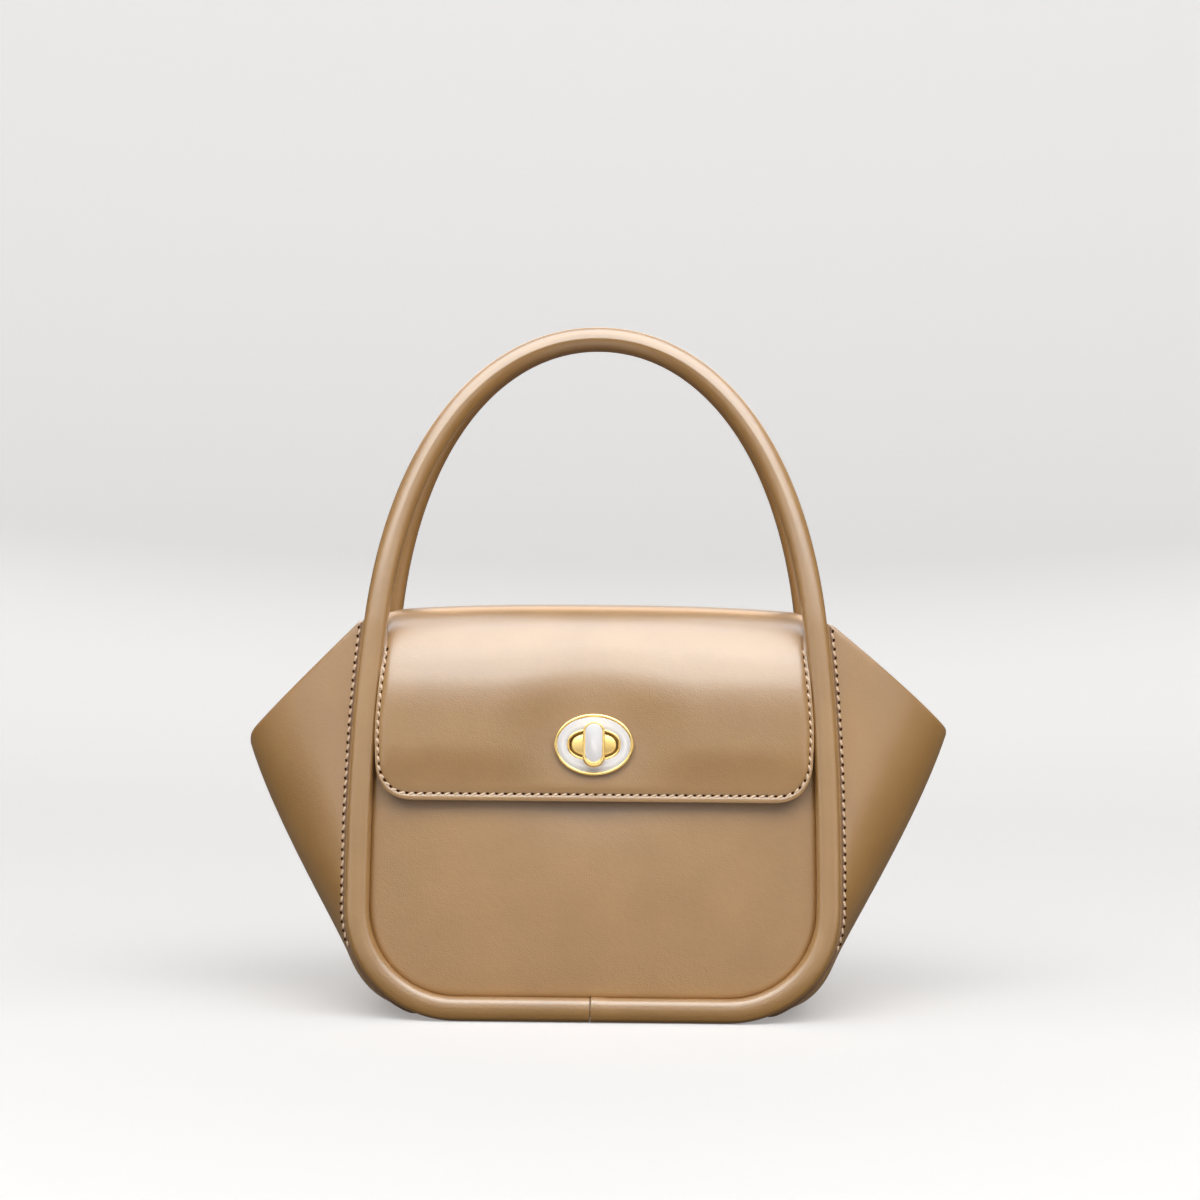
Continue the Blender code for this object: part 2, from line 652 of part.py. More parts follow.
def stadium(half_sizes, rise, shrink=0):
    """A long shape with round ends, standing upright."""
    a, b = (size - shrink for size in half_sizes)
    straight = b - a
    points = []
    for i in range(OVAL_STEPS):
        t = math.tau * (i + 0.5) / OVAL_STEPS
        lift = straight if math.sin(t) > 0 else -straight
        points.append(Vector((a * math.cos(t), -rise, lift + a * math.sin(t))))
    return points


def shrunk(half_sizes, amount):
    return tuple(size - amount for size in half_sizes)


def make_plate(face):
    """The oval plate on the flap, its inlay, the backing behind the flap and two screws."""
    front = face + PLATE_THICKNESS
    bed = front - INLAY_DEPTH
    outer = shrunk(PLATE_OVAL, PLATE_RIM)
    inner = shrunk(PLATE_HOLE_OVAL, -PLATE_RIM)
    plate = on_lock(loft("lock_plate", [
        oval(PLATE_OVAL, face), oval(PLATE_OVAL, front), oval(outer, front), oval(outer, bed),
        oval(inner, bed), oval(inner, front), oval(PLATE_HOLE_OVAL, front),
        oval(PLATE_HOLE_OVAL, face)], "gold", ring=True))
    inlay_out, inlay_in = shrunk(outer, SEAT_GAP), shrunk(inner, -SEAT_GAP)
    on_lock(loft("plate_enamel", [
        oval(inlay_out, bed + SEAT_GAP), oval(inlay_out, front), oval(inlay_in, front),
        oval(inlay_in, bed + SEAT_GAP)], "enamel", ring=True))
    back = FLAP_AIR - SEAT_GAP
    opening = shrunk(PLATE_HOLE_OVAL, -WINDOW_MARGIN)
    backing = on_lock(loft("plate_backing", [
        oval(BACKING_OVAL, back - BACKING_THICKNESS), oval(BACKING_OVAL, back),
        oval(opening, back), oval(opening, back - BACKING_THICKNESS)], "gold", ring=True))
    head = back - BACKING_THICKNESS - SEAT_GAP
    for name, side in (("left", LEFT), ("right", RIGHT)):
        at = (side * SCREW_REACH, 0)
        on_lock(loft("plate_screw_" + name, [
            oval((SCREW_HEAD_RADIUS, SCREW_HEAD_RADIUS), head - SCREW_HEAD, ROUND_STEPS, at),
            oval((SCREW_HEAD_RADIUS, SCREW_HEAD_RADIUS), head, ROUND_STEPS, at),
            oval((SCREW_RADIUS, SCREW_RADIUS), head, ROUND_STEPS, at),
            oval((SCREW_RADIUS, SCREW_RADIUS), face + SCREW_BITE - SEAT_GAP, ROUND_STEPS, at)],
            "steel"))
    return plate, backing


def lock_stack():
    """Rises, below the panel's face, of the pieces behind it."""
    board_back = -(PANEL_LEATHER + SEAT_GAP + BOARD_THICKNESS)
    backplate = board_back - SEAT_GAP
    spring = backplate - BACKPLATE_THICKNESS - SEAT_GAP
    clip = spring - SPRING_THICKNESS - SEAT_GAP
    return backplate, spring, clip


def make_lock_body():
    """The boss on the panel, the plate behind the board, the click spring and the rivets."""
    backplate, spring, _ = lock_stack()
    bore = (STEM_RADIUS + SEAT_GAP, STEM_RADIUS + SEAT_GAP)
    flange = SEAT_GAP + FLANGE_THICKNESS
    boss = on_lock(loft("lock_base", [
        oval(FLANGE_OVAL, SEAT_GAP), oval(FLANGE_OVAL, flange), oval(BOSS_OVAL, flange),
        oval(BOSS_OVAL, BOSS_RISE - BOSS_DOME), oval(shrunk(BOSS_OVAL, BOSS_DOME), BOSS_RISE),
        oval(bore, BOSS_RISE), oval(bore, SEAT_GAP)], "gold", ring=True))
    back = backplate - BACKPLATE_THICKNESS
    plate = on_lock(loft("lock_backplate", [
        oval(BACKPLATE_OVAL, back), oval(BACKPLATE_OVAL, backplate), oval(bore, backplate),
        oval(bore, back)], "steel", ring=True))
    ring = (SPRING_RADIUS, SPRING_RADIUS)
    on_lock(loft("click_spring", [
        oval(ring, spring - SPRING_THICKNESS), oval(ring, spring), oval(bore, spring),
        oval(bore, spring - SPRING_THICKNESS)], "steel", ring=True))
    for name, side in (("upper", 1), ("lower", -1)):
        at = (0, side * RIVET_RISE)
        head = back - SEAT_GAP
        on_lock(loft("lock_rivet_" + name, [
            oval((RIVET_RADIUS, RIVET_RADIUS), flange, ROUND_STEPS, at),
            oval((RIVET_RADIUS, RIVET_RADIUS), head, ROUND_STEPS, at),
            oval((RIVET_HEAD_RADIUS, RIVET_HEAD_RADIUS), head, ROUND_STEPS, at),
            oval((RIVET_HEAD_RADIUS, RIVET_HEAD_RADIUS), head - RIVET_HEAD, ROUND_STEPS, at)],
            "steel"))
    return boss, plate


def make_knob():
    """The turning knob with its stem, its inlay and the clip that holds the stem."""
    _, _, clip = lock_stack()
    front = KNOB_RISE + KNOB_THICKNESS
    bed = front - INLAY_DEPTH
    stem = (STEM_RADIUS, STEM_RADIUS)
    neck = shrunk(stem, STEM_GROOVE)
    groove_top = clip + SEAT_GAP / 2
    groove_low = clip - CLIP_THICKNESS - SEAT_GAP / 2
    on_lock(loft("turn_knob", [
        stadium(KNOB_OVAL, bed, KNOB_RIM), stadium(KNOB_OVAL, front, KNOB_RIM),
        stadium(KNOB_OVAL, front), stadium(KNOB_OVAL, KNOB_RISE),
        stadium(stem, KNOB_RISE), stadium(stem, groove_top), stadium(neck, groove_top),
        stadium(neck, groove_low), stadium(stem, groove_low),
        stadium(stem, groove_low - STEM_END)], "gold"))
    on_lock(loft("knob_enamel", [
        stadium(KNOB_OVAL, bed + SEAT_GAP, KNOB_RIM + SEAT_GAP),
        stadium(KNOB_OVAL, front, KNOB_RIM + SEAT_GAP)], "enamel"))
    make_clip(clip)


def make_clip(top):
    """A C-shaped clip in the stem's groove, open towards the floor."""
    inner = STEM_RADIUS - STEM_GROOVE + SEAT_GAP
    gap = math.asin(CLIP_OPENING / 2 / inner)
    sweep = [-math.pi / 2 + gap + (math.tau - 2 * gap) * i / ROUND_STEPS
             for i in range(ROUND_STEPS + 1)]
    outline = [(CLIP_RADIUS * math.cos(t), CLIP_RADIUS * math.sin(t)) for t in sweep]
    outline += [(inner * math.cos(t), inner * math.sin(t)) for t in reversed(sweep)]
    loops = [[Vector((x, -rise, z)) for x, z in outline] for rise in (top - CLIP_THICKNESS, top)]
    on_lock(loft("knob_retainer", loops, "steel"))


def lock_cutter(name, half_sizes, low, high, at=(0, 0)):
    loops = [oval(half_sizes, rise, ROUND_STEPS, at, CUTTER_TURN) for rise in (low, high)]
    return on_lock(loft(name, loops, "steel"))


def cut_for_lock(panels, flap_layers, plate, backing, boss, backplate, face):
    """Holes for the stem, the boss, the rivets, the screws and the lock's back."""
    low = -(PANEL_LEATHER + BOARD_THICKNESS + BACKPLATE_THICKNESS + OVERRUN)
    stem_hole = (STEM_RADIUS + SLIDE_GAP, STEM_RADIUS + SLIDE_GAP)
    stem = lock_cutter("stem_hole", stem_hole, low, OVERRUN)
    for name in ("front_panel", "front_board"):
        cut(panels[name], stem)
    bed = lock_cutter("lock_bed", shrunk(BACKPLATE_OVAL, -LOCK_BED_MARGIN),
                      low - FOAM_THICKNESS - OVERRUN, 0)
    cut(panels["front_foam"], bed)
    rivet_hole = (RIVET_RADIUS + SEAT_GAP, RIVET_RADIUS + SEAT_GAP)
    for name, side in (("upper", 1), ("lower", -1)):
        hole = lock_cutter("rivet_hole_" + name, rivet_hole, low - OVERRUN,
                           FLANGE_THICKNESS + OVERRUN, (0, side * RIVET_RISE))
        for item in (panels["front_panel"], panels["front_board"], boss, backplate):
            cut(item, hole)
    window = lock_cutter("window", shrunk(PLATE_HOLE_OVAL, -WINDOW_MARGIN), FLAP_AIR - OVERRUN,
                         face + OVERRUN)
    for item in flap_layers:
        cut(item, window)
    screw_hole = (SCREW_RADIUS + SEAT_GAP, SCREW_RADIUS + SEAT_GAP)
    for name, side in (("left", LEFT), ("right", RIGHT)):
        hole = lock_cutter("screw_hole_" + name, screw_hole, -OVERRUN, face + SCREW_BITE,
                           (side * SCREW_REACH, 0))
        for item in (*flap_layers, plate, backing):
            cut(item, hole)


def make_lock(panels, flap_layers):
    face = FLAP_AIR + FLAP_LINING + FLAP_FOAM + FLAP_LEATHER + 3 * SEAT_GAP
    plate, backing = make_plate(face)
    boss, backplate = make_lock_body()
    make_knob()
    cut_for_lock(panels, flap_layers, plate, backing, boss, backplate, face)


def main():
    clear_scene()
    make_tubes()
    panels = make_panels()
    make_gussets()
    make_base()
    flap_layers = make_flap()
    make_lock(panels, flap_layers)


main()
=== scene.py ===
# Top handle bag in tan calf leather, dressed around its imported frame.
# Metres, Z up. Sizes in the dictionaries are millimetres.
import math

import bmesh
import bpy
from mathutils import Matrix, Vector


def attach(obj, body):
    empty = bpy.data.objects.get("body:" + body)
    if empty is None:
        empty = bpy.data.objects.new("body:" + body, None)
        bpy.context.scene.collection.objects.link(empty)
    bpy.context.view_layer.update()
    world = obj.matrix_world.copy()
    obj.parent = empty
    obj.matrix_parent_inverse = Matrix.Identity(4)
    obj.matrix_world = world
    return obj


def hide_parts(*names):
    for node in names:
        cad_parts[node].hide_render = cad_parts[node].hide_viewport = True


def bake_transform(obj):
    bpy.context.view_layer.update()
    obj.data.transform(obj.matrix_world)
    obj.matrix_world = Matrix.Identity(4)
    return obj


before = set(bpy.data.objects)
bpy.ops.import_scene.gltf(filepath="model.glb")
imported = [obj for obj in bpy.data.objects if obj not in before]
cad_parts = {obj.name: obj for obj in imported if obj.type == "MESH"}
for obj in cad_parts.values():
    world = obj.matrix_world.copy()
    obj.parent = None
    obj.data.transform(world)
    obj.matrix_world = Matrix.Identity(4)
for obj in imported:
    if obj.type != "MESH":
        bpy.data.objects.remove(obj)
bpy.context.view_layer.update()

mm = 0.001
front, rear = -1, 1
print("frame loaded:", len(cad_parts), "nodes")


# Small helpers for working with the selection
def clearSelection():
    bpy.ops.object.select_all(action="DESELECT")


def makeActive(piece):
    clearSelection()
    piece.select_set(True)
    bpy.context.view_layer.objects.active = piece


def named(piece, name):
    piece.name = name
    piece.data.name = name
    return piece


def shapeWith(piece, kind, **settings):
    modifier = piece.modifiers.new(kind.title(), kind)
    for key, value in settings.items():
        setattr(modifier, key, value)
    makeActive(piece)
    bpy.ops.object.modifier_apply(modifier=modifier.name)


def soften(piece, levels=1):
    shapeWith(piece, "SUBSURF", levels=levels, render_levels=levels)


def joinPieces(name, pieces):
    clearSelection()
    for piece in pieces:
        piece.select_set(True)
    bpy.context.view_layer.objects.active = pieces[0]
    bpy.ops.object.join()
    return named(bpy.context.active_object, name)


def closeSeam(piece, distance, inside=False):
    makeActive(piece)
    bpy.ops.object.mode_set(mode="EDIT")
    bpy.ops.mesh.select_all(action="SELECT")
    bpy.ops.mesh.remove_doubles(threshold=distance)
    bpy.ops.mesh.normals_make_consistent(inside=inside)
    bpy.ops.object.mode_set(mode="OBJECT")


# An oval slab over the origin, given by its half width and half height and by its two levels
def flatCylinder(name, half, low, high, sides=96):
    clearSelection()
    bpy.ops.mesh.primitive_cylinder_add(vertices=sides, radius=1, depth=1)
    piece = named(bpy.context.active_object, name)
    piece.scale = (half[0] * mm, half[1] * mm, (high - low) * mm)
    piece.location = (0, 0, (low + high) / 2 * mm)
    bpy.ops.object.transform_apply(location=True, scale=True)
    return piece


# A primitive grid whose vertices are then moved onto a surface, row by row
def shapedGrid(name, rows, columns, place):
    clearSelection()
    bpy.ops.mesh.primitive_grid_add(x_subdivisions=columns - 1, y_subdivisions=rows - 1, size=1)
    piece = named(bpy.context.active_object, name)
    for index, vertex in enumerate(piece.data.vertices):
        vertex.co = place(index // columns, index % columns)
    return piece


# Curves and chains of points
def bezier(points, share):
    while len(points) > 1:
        points = [a.lerp(b, share) for a, b in zip(points, points[1:])]
    return points[0]


def curve(points, steps):
    return [bezier(points, i / steps) for i in range(steps + 1)]


def chainLength(points):
    return sum((b - a).length for a, b in zip(points, points[1:]))


def walk(points, distance):
    for a, b in zip(points, points[1:]):
        step = (b - a).length
        if distance < step:
            return a.lerp(b, distance / step)
        distance -= step
    return points[-1]


def evenly(low, high, count):
    return [low + (high - low) * i / (count - 1) for i in range(count)]


def smooth(share):
    share = min(max(share, 0), 1)
    return share * share * (3 - 2 * share)


def bump(distance, width):
    return math.exp(-(distance / width) ** 2)


# Colours are sRGB hex values, turned to linear here
def linear(code, alpha=1.0):
    channels = [int(code[i:i + 2], 16) / 255 for i in (1, 3, 5)]
    return tuple(c / 12.92 if c <= 0.04045 else ((c + 0.055) / 1.055) ** 2.4 for c in channels) + (alpha,)


def addNode(tree, kind, settings=(), links=()):
    node = tree.nodes.new(kind)
    for key, value in dict(settings).items():
        if key in node.inputs:
            node.inputs[key].default_value = value
        else:
            setattr(node, key, value)
    for key, socket in dict(links).items():
        tree.links.new(socket, node.inputs[key])
    return node


def newMaterial(name, settings):
    material = bpy.data.materials.new(name)
    material.use_nodes = True
    tree = material.node_tree
    shader = tree.nodes["Principled BSDF"]
    for key, value in settings.items():
        shader.inputs[key].default_value = value
    place = addNode(tree, "ShaderNodeTexCoord").outputs["Object"]
    return material, tree, shader, place


def colourMix(tree, share, low, high):
    ramp = addNode(tree, "ShaderNodeValToRGB", links={"Fac": share})
    ramp.color_ramp.elements[0].color = linear(low)
    ramp.color_ramp.elements[1].color = linear(high)
    return ramp


def addNoise(tree, place, scale, detail, roughness=0.5):
    settings = {"Scale": scale, "Detail": detail, "Roughness": roughness}
    return addNode(tree, "ShaderNodeTexNoise", settings, {"Vector": place}).outputs["Fac"]


def colourBy(tree, shader, share, low, high):
    ramp = colourMix(tree, share, low, high)
    tree.links.new(ramp.outputs["Color"], shader.inputs["Base Color"])
    return ramp.color_ramp.elements


def reliefBy(tree, shader, height, strength, distance):
    relief = addNode(tree, "ShaderNodeBump", {"Strength": strength, "Distance": distance}, {"Height": height})
    tree.links.new(relief.outputs["Normal"], shader.inputs["Normal"])


def glossBy(tree, shader, share, low, high):
    gloss = addNode(tree, "ShaderNodeMapRange", {"To Min": low, "To Max": high}, {"Value": share})
    tree.links.new(gloss.outputs["Result"], shader.inputs["Roughness"])


# Satin calf: drummed hide under a clear satin coat. Pores are about 0.5 mm, drawn at 0.9 mm so that
# they show; the coat gives a broad soft highlight, and the hide is a little cloudy over 30 mm.
def calfLeather(name, low, high):
    settings = {"IOR": 1.58, "Coat Weight": 0.9, "Coat Roughness": 0.32}
    material, tree, shader, place = newMaterial(name, settings)
    ends = colourBy(tree, shader, addNoise(tree, place, 32.0, 3.0, 0.55), low, high)
    ends[0].position, ends[1].position = 0.30, 0.70
    pores = addNode(tree, "ShaderNodeTexVoronoi", {"Scale": 1100.0, "feature": "DISTANCE_TO_EDGE"},
                    {"Vector": place})
    grain = addNoise(tree, place, 420.0, 4.0, 0.6)
    height = addNode(tree, "ShaderNodeMath", {"operation": "MULTIPLY_ADD"},
                     {0: pores.outputs["Distance"], 2: grain})
    height.inputs[1].default_value = 0.8
    reliefBy(tree, shader, height.outputs[0], 0.28, 0.0004)
    glossBy(tree, shader, grain, 0.35, 0.47)
    return material


# Finishes drawn by one fine noise, which tints them and, where given, lifts or dulls the surface
def grainyFinish(name, settings, noise, colours, relief=None, gloss=None):
    material, tree, shader, place = newMaterial(name, settings)
    grain = addNoise(tree, place, *noise)
    colourBy(tree, shader, grain, *colours)
    if relief:
        reliefBy(tree, shader, grain, *relief)
    if gloss:
        glossBy(tree, shader, grain, *gloss)
    return material


satinCalf = calfLeather("satinCalf", "#A3783F", "#AE8247")

# Split suede: brushed flesh side, matte, with a short nap that varies over 2 mm
suedeLining = grainyFinish("suedeLining", {"Roughness": 0.92, "Sheen Weight": 0.25, "Sheen Roughness": 0.6},
                           (500.0, 5.0, 0.7), ("#6B4A2E", "#94704C"), relief=(0.35, 0.0004))

# Waxed linen thread, about 1.2 mm: twisted plies with a soft wax sheen. Each awl hole is drawn as a matte dark
# bead: painted shade for the hole's shadowed inside
thread = {"noise": (1500.0, 2.0), "relief": (0.4, 0.0002)}
creamThread = grainyFinish("creamThread", {"Roughness": 0.5, "Specular IOR Level": 0.5},
                           thread["noise"], ("#DDBD9A", "#F0D6B8"), relief=thread["relief"])
# painted shade: this dark matte colour stands in for the shadow inside each awl hole
holeShade = grainyFinish("holeShade", {"Roughness": 1.0, "Specular IOR Level": 0.0},
                       thread["noise"], ("#35190A", "#4E2A12"), relief=thread["relief"])

# Gold plating over brass, with faint polishing waves 6 mm long: mirror-like on the rims, satin on the boss
gold = {"noise": (160.0, 2.0), "colours": ("#E8BC66", "#F4D592")}
polishedGold = grainyFinish("polishedGold", {"Metallic": 1.0}, gold["noise"], gold["colours"],
                            gloss=(0.16, 0.26))
satinGold = grainyFinish("satinGold", {"Metallic": 1.0}, gold["noise"], gold["colours"],
                         gloss=(0.38, 0.48))

# Pearl enamel: pale glass-like fill with a faint cloudy pearl
pearl = {"Roughness": 0.16, "IOR": 1.9, "Coat Weight": 1.0, "Coat Roughness": 0.05}
pearlFill = grainyFinish("pearlFill", pearl, (140.0, 3.0), ("#F6F2F1", "#FBF8F7"))

# Zinc-plated steel: brushed grey, fine scratches about 1 mm apart
plainSteel = grainyFinish("plainSteel", {"Metallic": 1.0}, (900.0, 3.0), ("#9A9A9C", "#BDBDBF"),
                          gloss=(0.25, 0.42))


# Fibrous fillings: bag board, foam sheet and cotton cord, all matte with visible fibre
def fibre(name, low, high, scale):
    return grainyFinish(name, {"Roughness": 0.9}, (scale, 5.0, 0.7), (low, high), relief=(0.3, 0.0003))


bagBoard = fibre("bagBoard", "#5C564C", "#756E62", 700.0)
foamSheet = fibre("foamSheet", "#D6D0C2", "#E4DFD3", 900.0)
cottonCord = fibre("cottonCord", "#CFC4AE", "#E2D9C6", 1200.0)
print("materials ready:", len(bpy.data.materials))


creaseAngle = math.radians(50)        # sharper edges than this stay crisp


def dress(piece, material):
    piece.data.materials.clear()
    piece.data.materials.append(material)
    makeActive(piece)
    bpy.ops.object.shade_smooth_by_angle(angle=creaseAngle)
    return piece


def thicken(piece, thickness, material):
    shapeWith(piece, "SOLIDIFY", thickness=thickness * mm, offset=-1)
    soften(piece)
    return dress(piece, material)


# The shape that the bag's pieces share: the padded loop, the walls and their lean
loop = {
    "radius": 4.8,
    "baseHalfFlat": 54.4,
    "cornerRadius": 40.0,
    "baseDepth": 50.0,
    "rootDepth": 36.0,
    "rootHeight": 160.0,
    "rootHalfWidth": 88.4,
    "rootTaper": 0.12,
    "archHeight": 275.4,
    "archRise": 76.0,
    "archSpread": 42.0,
    "archLean": 10.0,
    "touchGap": 0.4,
    "wall": 1.6,
    "spacing": 2.8,
    "endStops": (0.25, 0.9),  # extra rings that round off both ends at the butt seam
    "endShrink": 0.97,
    "cornerSteps": 24,
    "sideSteps": 40,
    "archSteps": 48,
    "sides": 32,
    "crowding": 0.6,          # sides stand closer together near the front ridge
    "squareness": (3.3, 1.75),  # at the wall and at the handle's top; 2 would be a round tube
    "squareFrom": 125.0,
    "squareOver": 110.0,
    "ridge": 0.15,
    "ridgeWidth": 0.16,
    "seamAt": -0.6,           # butt seam, from the middle of the floor run
    "seamGap": 0.04,
    "seamStep": 0.03,         # the right end stands this much proud, as a share of the radius
    "seamReach": 9.0,
    "bendStart": 150.0,
    "bendEnd": 170.0,
}
sideHalfWidth = loop["baseHalfFlat"] + loop["cornerRadius"]
lean = math.atan2(loop["baseDepth"] - loop["rootDepth"], loop["rootHeight"] - loop["radius"])
upWall = Vector((0, math.sin(lean), math.cos(lean)))       # up the front wall
outWall = Vector((0, -math.cos(lean), math.sin(lean)))     # straight out of it


def depthAt(height):
    share = (height - loop["radius"]) / (loop["rootHeight"] - loop["radius"])
    return loop["baseDepth"] + (loop["rootDepth"] - loop["baseDepth"]) * share


def cornerPoints(steps):
    centre = Vector((loop["baseHalfFlat"], loop["radius"] + loop["cornerRadius"]))
    return [centre + loop["cornerRadius"] * Vector((math.sin(a), -math.cos(a)))
            for a in evenly(0, math.pi / 2, steps + 1)]


def sidePoints(steps):
    low = Vector((sideHalfWidth, loop["radius"] + loop["cornerRadius"]))
    high = Vector((loop["rootHalfWidth"], loop["rootHeight"]))
    hold = (high.y - low.y) / 3
    return curve([low, low + Vector((0, hold)), high - Vector((-loop["rootTaper"], 1)) * hold, high], steps)


sideChain = sidePoints(loop["sideSteps"])


def halfWidthAt(height):
    for a, b in zip(sideChain, sideChain[1:]):
        if height <= b.y:
            break
    return a.x + (b.x - a.x) * (height - a.y) / (b.y - a.y)


def archPoints(facing, steps):
    touch = loop["radius"] + loop["touchGap"] / 2
    root = Vector((loop["rootHalfWidth"], facing * loop["rootDepth"], loop["rootHeight"]))
    rise = loop["archRise"]
    lowHold = root + Vector((-loop["rootTaper"] * rise, -facing * loop["archLean"], rise))
    top = Vector((0, facing * touch, loop["archHeight"]))
    right = curve([root, lowHold, top + Vector((loop["archSpread"], 0, 0)), top], steps)
    return right + [Vector((-p.x, p.y, p.z)) for p in reversed(right[:-1])]


# Padded tube loops: rolled leather, sewn round each wall and rising into the handle in one length
def loopPath(facing):
    half = cornerPoints(loop["cornerSteps"]) + sidePoints(loop["sideSteps"])[1:]
    wallHalf = [Vector((p.x, facing * depthAt(p.y), p.y)) for p in half]
    seam = Vector((loop["seamAt"], facing * loop["baseDepth"], loop["radius"]))
    gap = Vector((loop["seamGap"] / 2, 0, 0))
    left = [Vector((-p.x, p.y, p.z)) for p in reversed(wallHalf)]
    chain = [seam + gap] + wallHalf + archPoints(facing, loop["archSteps"])[1:-1] + left + [seam - gap]
    length = chainLength(chain)
    count = round(length / loop["spacing"])
    stops = [0, *loop["endStops"]] + [length * i / count for i in range(1, count)]
    stops += [length - stop for stop in reversed(loop["endStops"])] + [length]
    return [walk(chain, stop) for stop in stops], stops


# The filled tube keeps a soft ridge along its front, because the cord inside is folded, not round
def sectionPlace(angle, radius, forward, across, height):
    low, high = loop["squareness"]
    power = 2 / (low + (high - low) * smooth((height - loop["squareFrom"]) / loop["squareOver"]))
    c, s = math.cos(angle), math.sin(angle)
    radius += loop["ridge"] * bump(s, loop["ridgeWidth"]) * (c > 0)
    toFront, toSide = math.copysign(abs(c) ** power, c), math.copysign(abs(s) ** power, s)
    return radius * (forward * toFront + across * toSide)


def makeLoop(name, facing, nodes):
    points, stops = loopPath(facing)
    length = stops[-1]
    last = len(points) - 1
    rings = []
    for i, point in enumerate(points):
        flow = (points[min(i + 1, last)] - points[max(i - 1, 0)]).normalized()
        outward = Vector((0, facing, 0))
        forward = (outward - flow * outward.dot(flow)).normalized()
        across = flow.cross(forward)
        along = stops[i]
        fromEnd = min(along, length - along)
        step = loop["seamStep"] if along < length / 2 else -loop["seamStep"] / 3
        radius = loop["radius"] * (1 + step * (1 - smooth(fromEnd / loop["seamReach"])))
        radius *= loop["endShrink"] if i in (0, last) else 1
        lift = Vector((0, 0, max(0, radius - loop["radius"])))
        rings.append((point + lift, radius, forward, across))

    def place(i, j):
        point, radius, forward, across = rings[i]
        angle = 2 * math.pi * (j % loop["sides"]) / loop["sides"]
        angle -= loop["crowding"] * math.sin(angle)
        return (point + sectionPlace(-facing * angle, radius, forward, across, point.z)) * mm

    piece = shapedGrid(name, len(points), loop["sides"] + 1, place)
    closeSeam(piece, 0.00001)
    thicken(piece, loop["wall"], satinCalf)
    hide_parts(*nodes)
    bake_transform(piece)
    return piece


makeLoop("frontLoop", front, ("front_trim", "front_handle"))
makeLoop("rearLoop", rear, ("rear_trim", "rear_handle"))
print("loops made")


# Rounded corners: a point of a square-cornered grid, given by its distances to the side and to the edge
def roundedCorner(fromSide, fromEdge, radius):
    dx, dy = radius - fromSide, radius - fromEdge
    if dx <= 0 or dy <= 0:
        return fromSide, fromEdge
    shrink = max(dx, dy) / math.hypot(dx, dy)
    return radius - dx * shrink, radius - dy * shrink


def insetFrom(fromSide, fromEdge, radius):
    if fromSide < radius and fromEdge < radius:
        return radius - math.hypot(radius - fromSide, radius - fromEdge)
    return min(fromSide, fromEdge)


# A grid's column as its distance from the nearer side, and which side that is: either the columns
# crowd along both sides and are even between, or they are even all over
def crowdedColumn(j, columns, edges, halfWidth):
    across, side = min(j, columns - 1 - j), -1 if j < columns / 2 else 1
    if across < len(edges):
        return edges[across], side
    steps = (columns - 2 * len(edges) + 1) / 2
    return edges[-1] + (halfWidth - edges[-1]) * (across - len(edges) + 1) / steps, side


def evenColumn(j, columns, halfWidth):
    return halfWidth * (1 - abs(2 * j / (columns - 1) - 1)), -1 if j < columns / 2 else 1


# Stitches: one slanted capsule and one awl hole, copied along a seam; the hole is a dark bead painted with the
# shade inside it
stitch = {
    "pitch": 3.6,
    "length": 3.0,
    "width": 1.18,
    "height": 1.05,
    "slant": 17.0,
    "holeLength": 1.4,
    "holeWidth": 1.15,
    "holeShift": 0.45,
    "holeHeight": 0.5,
    "threadRise": 0.1,        # the thread lies this much above the leather
    "lookSteps": 600,
}


def beadMesh(name, length, width, height):
    clearSelection()
    bpy.ops.mesh.primitive_uv_sphere_add(segments=10, ring_count=6, radius=0.5)
    bead = named(bpy.context.active_object, name)
    bead.rotation_euler.y = math.pi / 2
    bpy.ops.object.transform_apply(rotation=True)
    bead.scale = (length * mm, width * mm, height * mm)
    bpy.ops.object.transform_apply(scale=True)
    mesh = bead.data.copy()
    bpy.data.objects.remove(bead)
    return mesh


threadBead = beadMesh("threadBead", stitch["length"], stitch["width"], stitch["height"])
# the hole bead carries painted shade, a dark dot where the hole's inside is in shadow
holeShadeBead = beadMesh("holeShadeBead", stitch["holeLength"], stitch["holeWidth"], stitch["holeHeight"])


# Each place is (point, direction along the seam, outward normal), in millimetres
def copiesOf(name, mesh, places, turn, sideways, sunk):
    merged = bmesh.new()
    for point, along, outward in places:
        across = outward.cross(along).normalized()
        basis = Matrix((along, across, outward)).transposed().to_4x4()
        spot = Matrix.Translation((point + across * sideways - outward * sunk) * mm)
        copy = mesh.copy()
        copy.transform(spot @ basis @ Matrix.Rotation(math.radians(turn), 4, "Z"))
        merged.from_mesh(copy)
        bpy.data.meshes.remove(copy)
    result = bpy.data.meshes.new(name)
    merged.to_mesh(result)
    merged.free()
    piece = bpy.data.objects.new(name, result)
    bpy.context.scene.collection.objects.link(piece)
    return piece


def seamPlaces(chain, look):
    length = chainLength([look(p)[0] for p in chain])
    steps = stitch["lookSteps"]
    fine = [walk(chain, chainLength(chain) * i / steps) for i in range(steps + 1)]
    found = [look(p) for p in fine]
    run, places, target = 0.0, [], stitch["pitch"] / 2
    for (a, _), (b, outward) in zip(found, found[1:]):
        step = (b - a).length
        while run + step >= target and step > 0:
            places.append((a.lerp(b, (target - run) / step), (b - a).normalized(), outward))
            target += stitch["pitch"]
        run += step
    print("seam of", round(length), "mm:", len(places), "stitches")
    return places


def sewSeam(name, places, inward, slant=1, rise=0.05):
    beads = copiesOf(name + "Thread", threadBead, places, slant * stitch["slant"], 0, -stitch["threadRise"])
    dress(beads, creamThread)
    shifted = [(p + a * stitch["pitch"] / 2, a, n) for p, a, n in places]
    # dark beads of painted shade, one for each awl hole, set between the stitches
    holeShades = copiesOf(name + "Holes", holeShadeBead, shifted, 0, inward * stitch["holeShift"], -rise)
    return beads, dress(holeShades, holeShade)


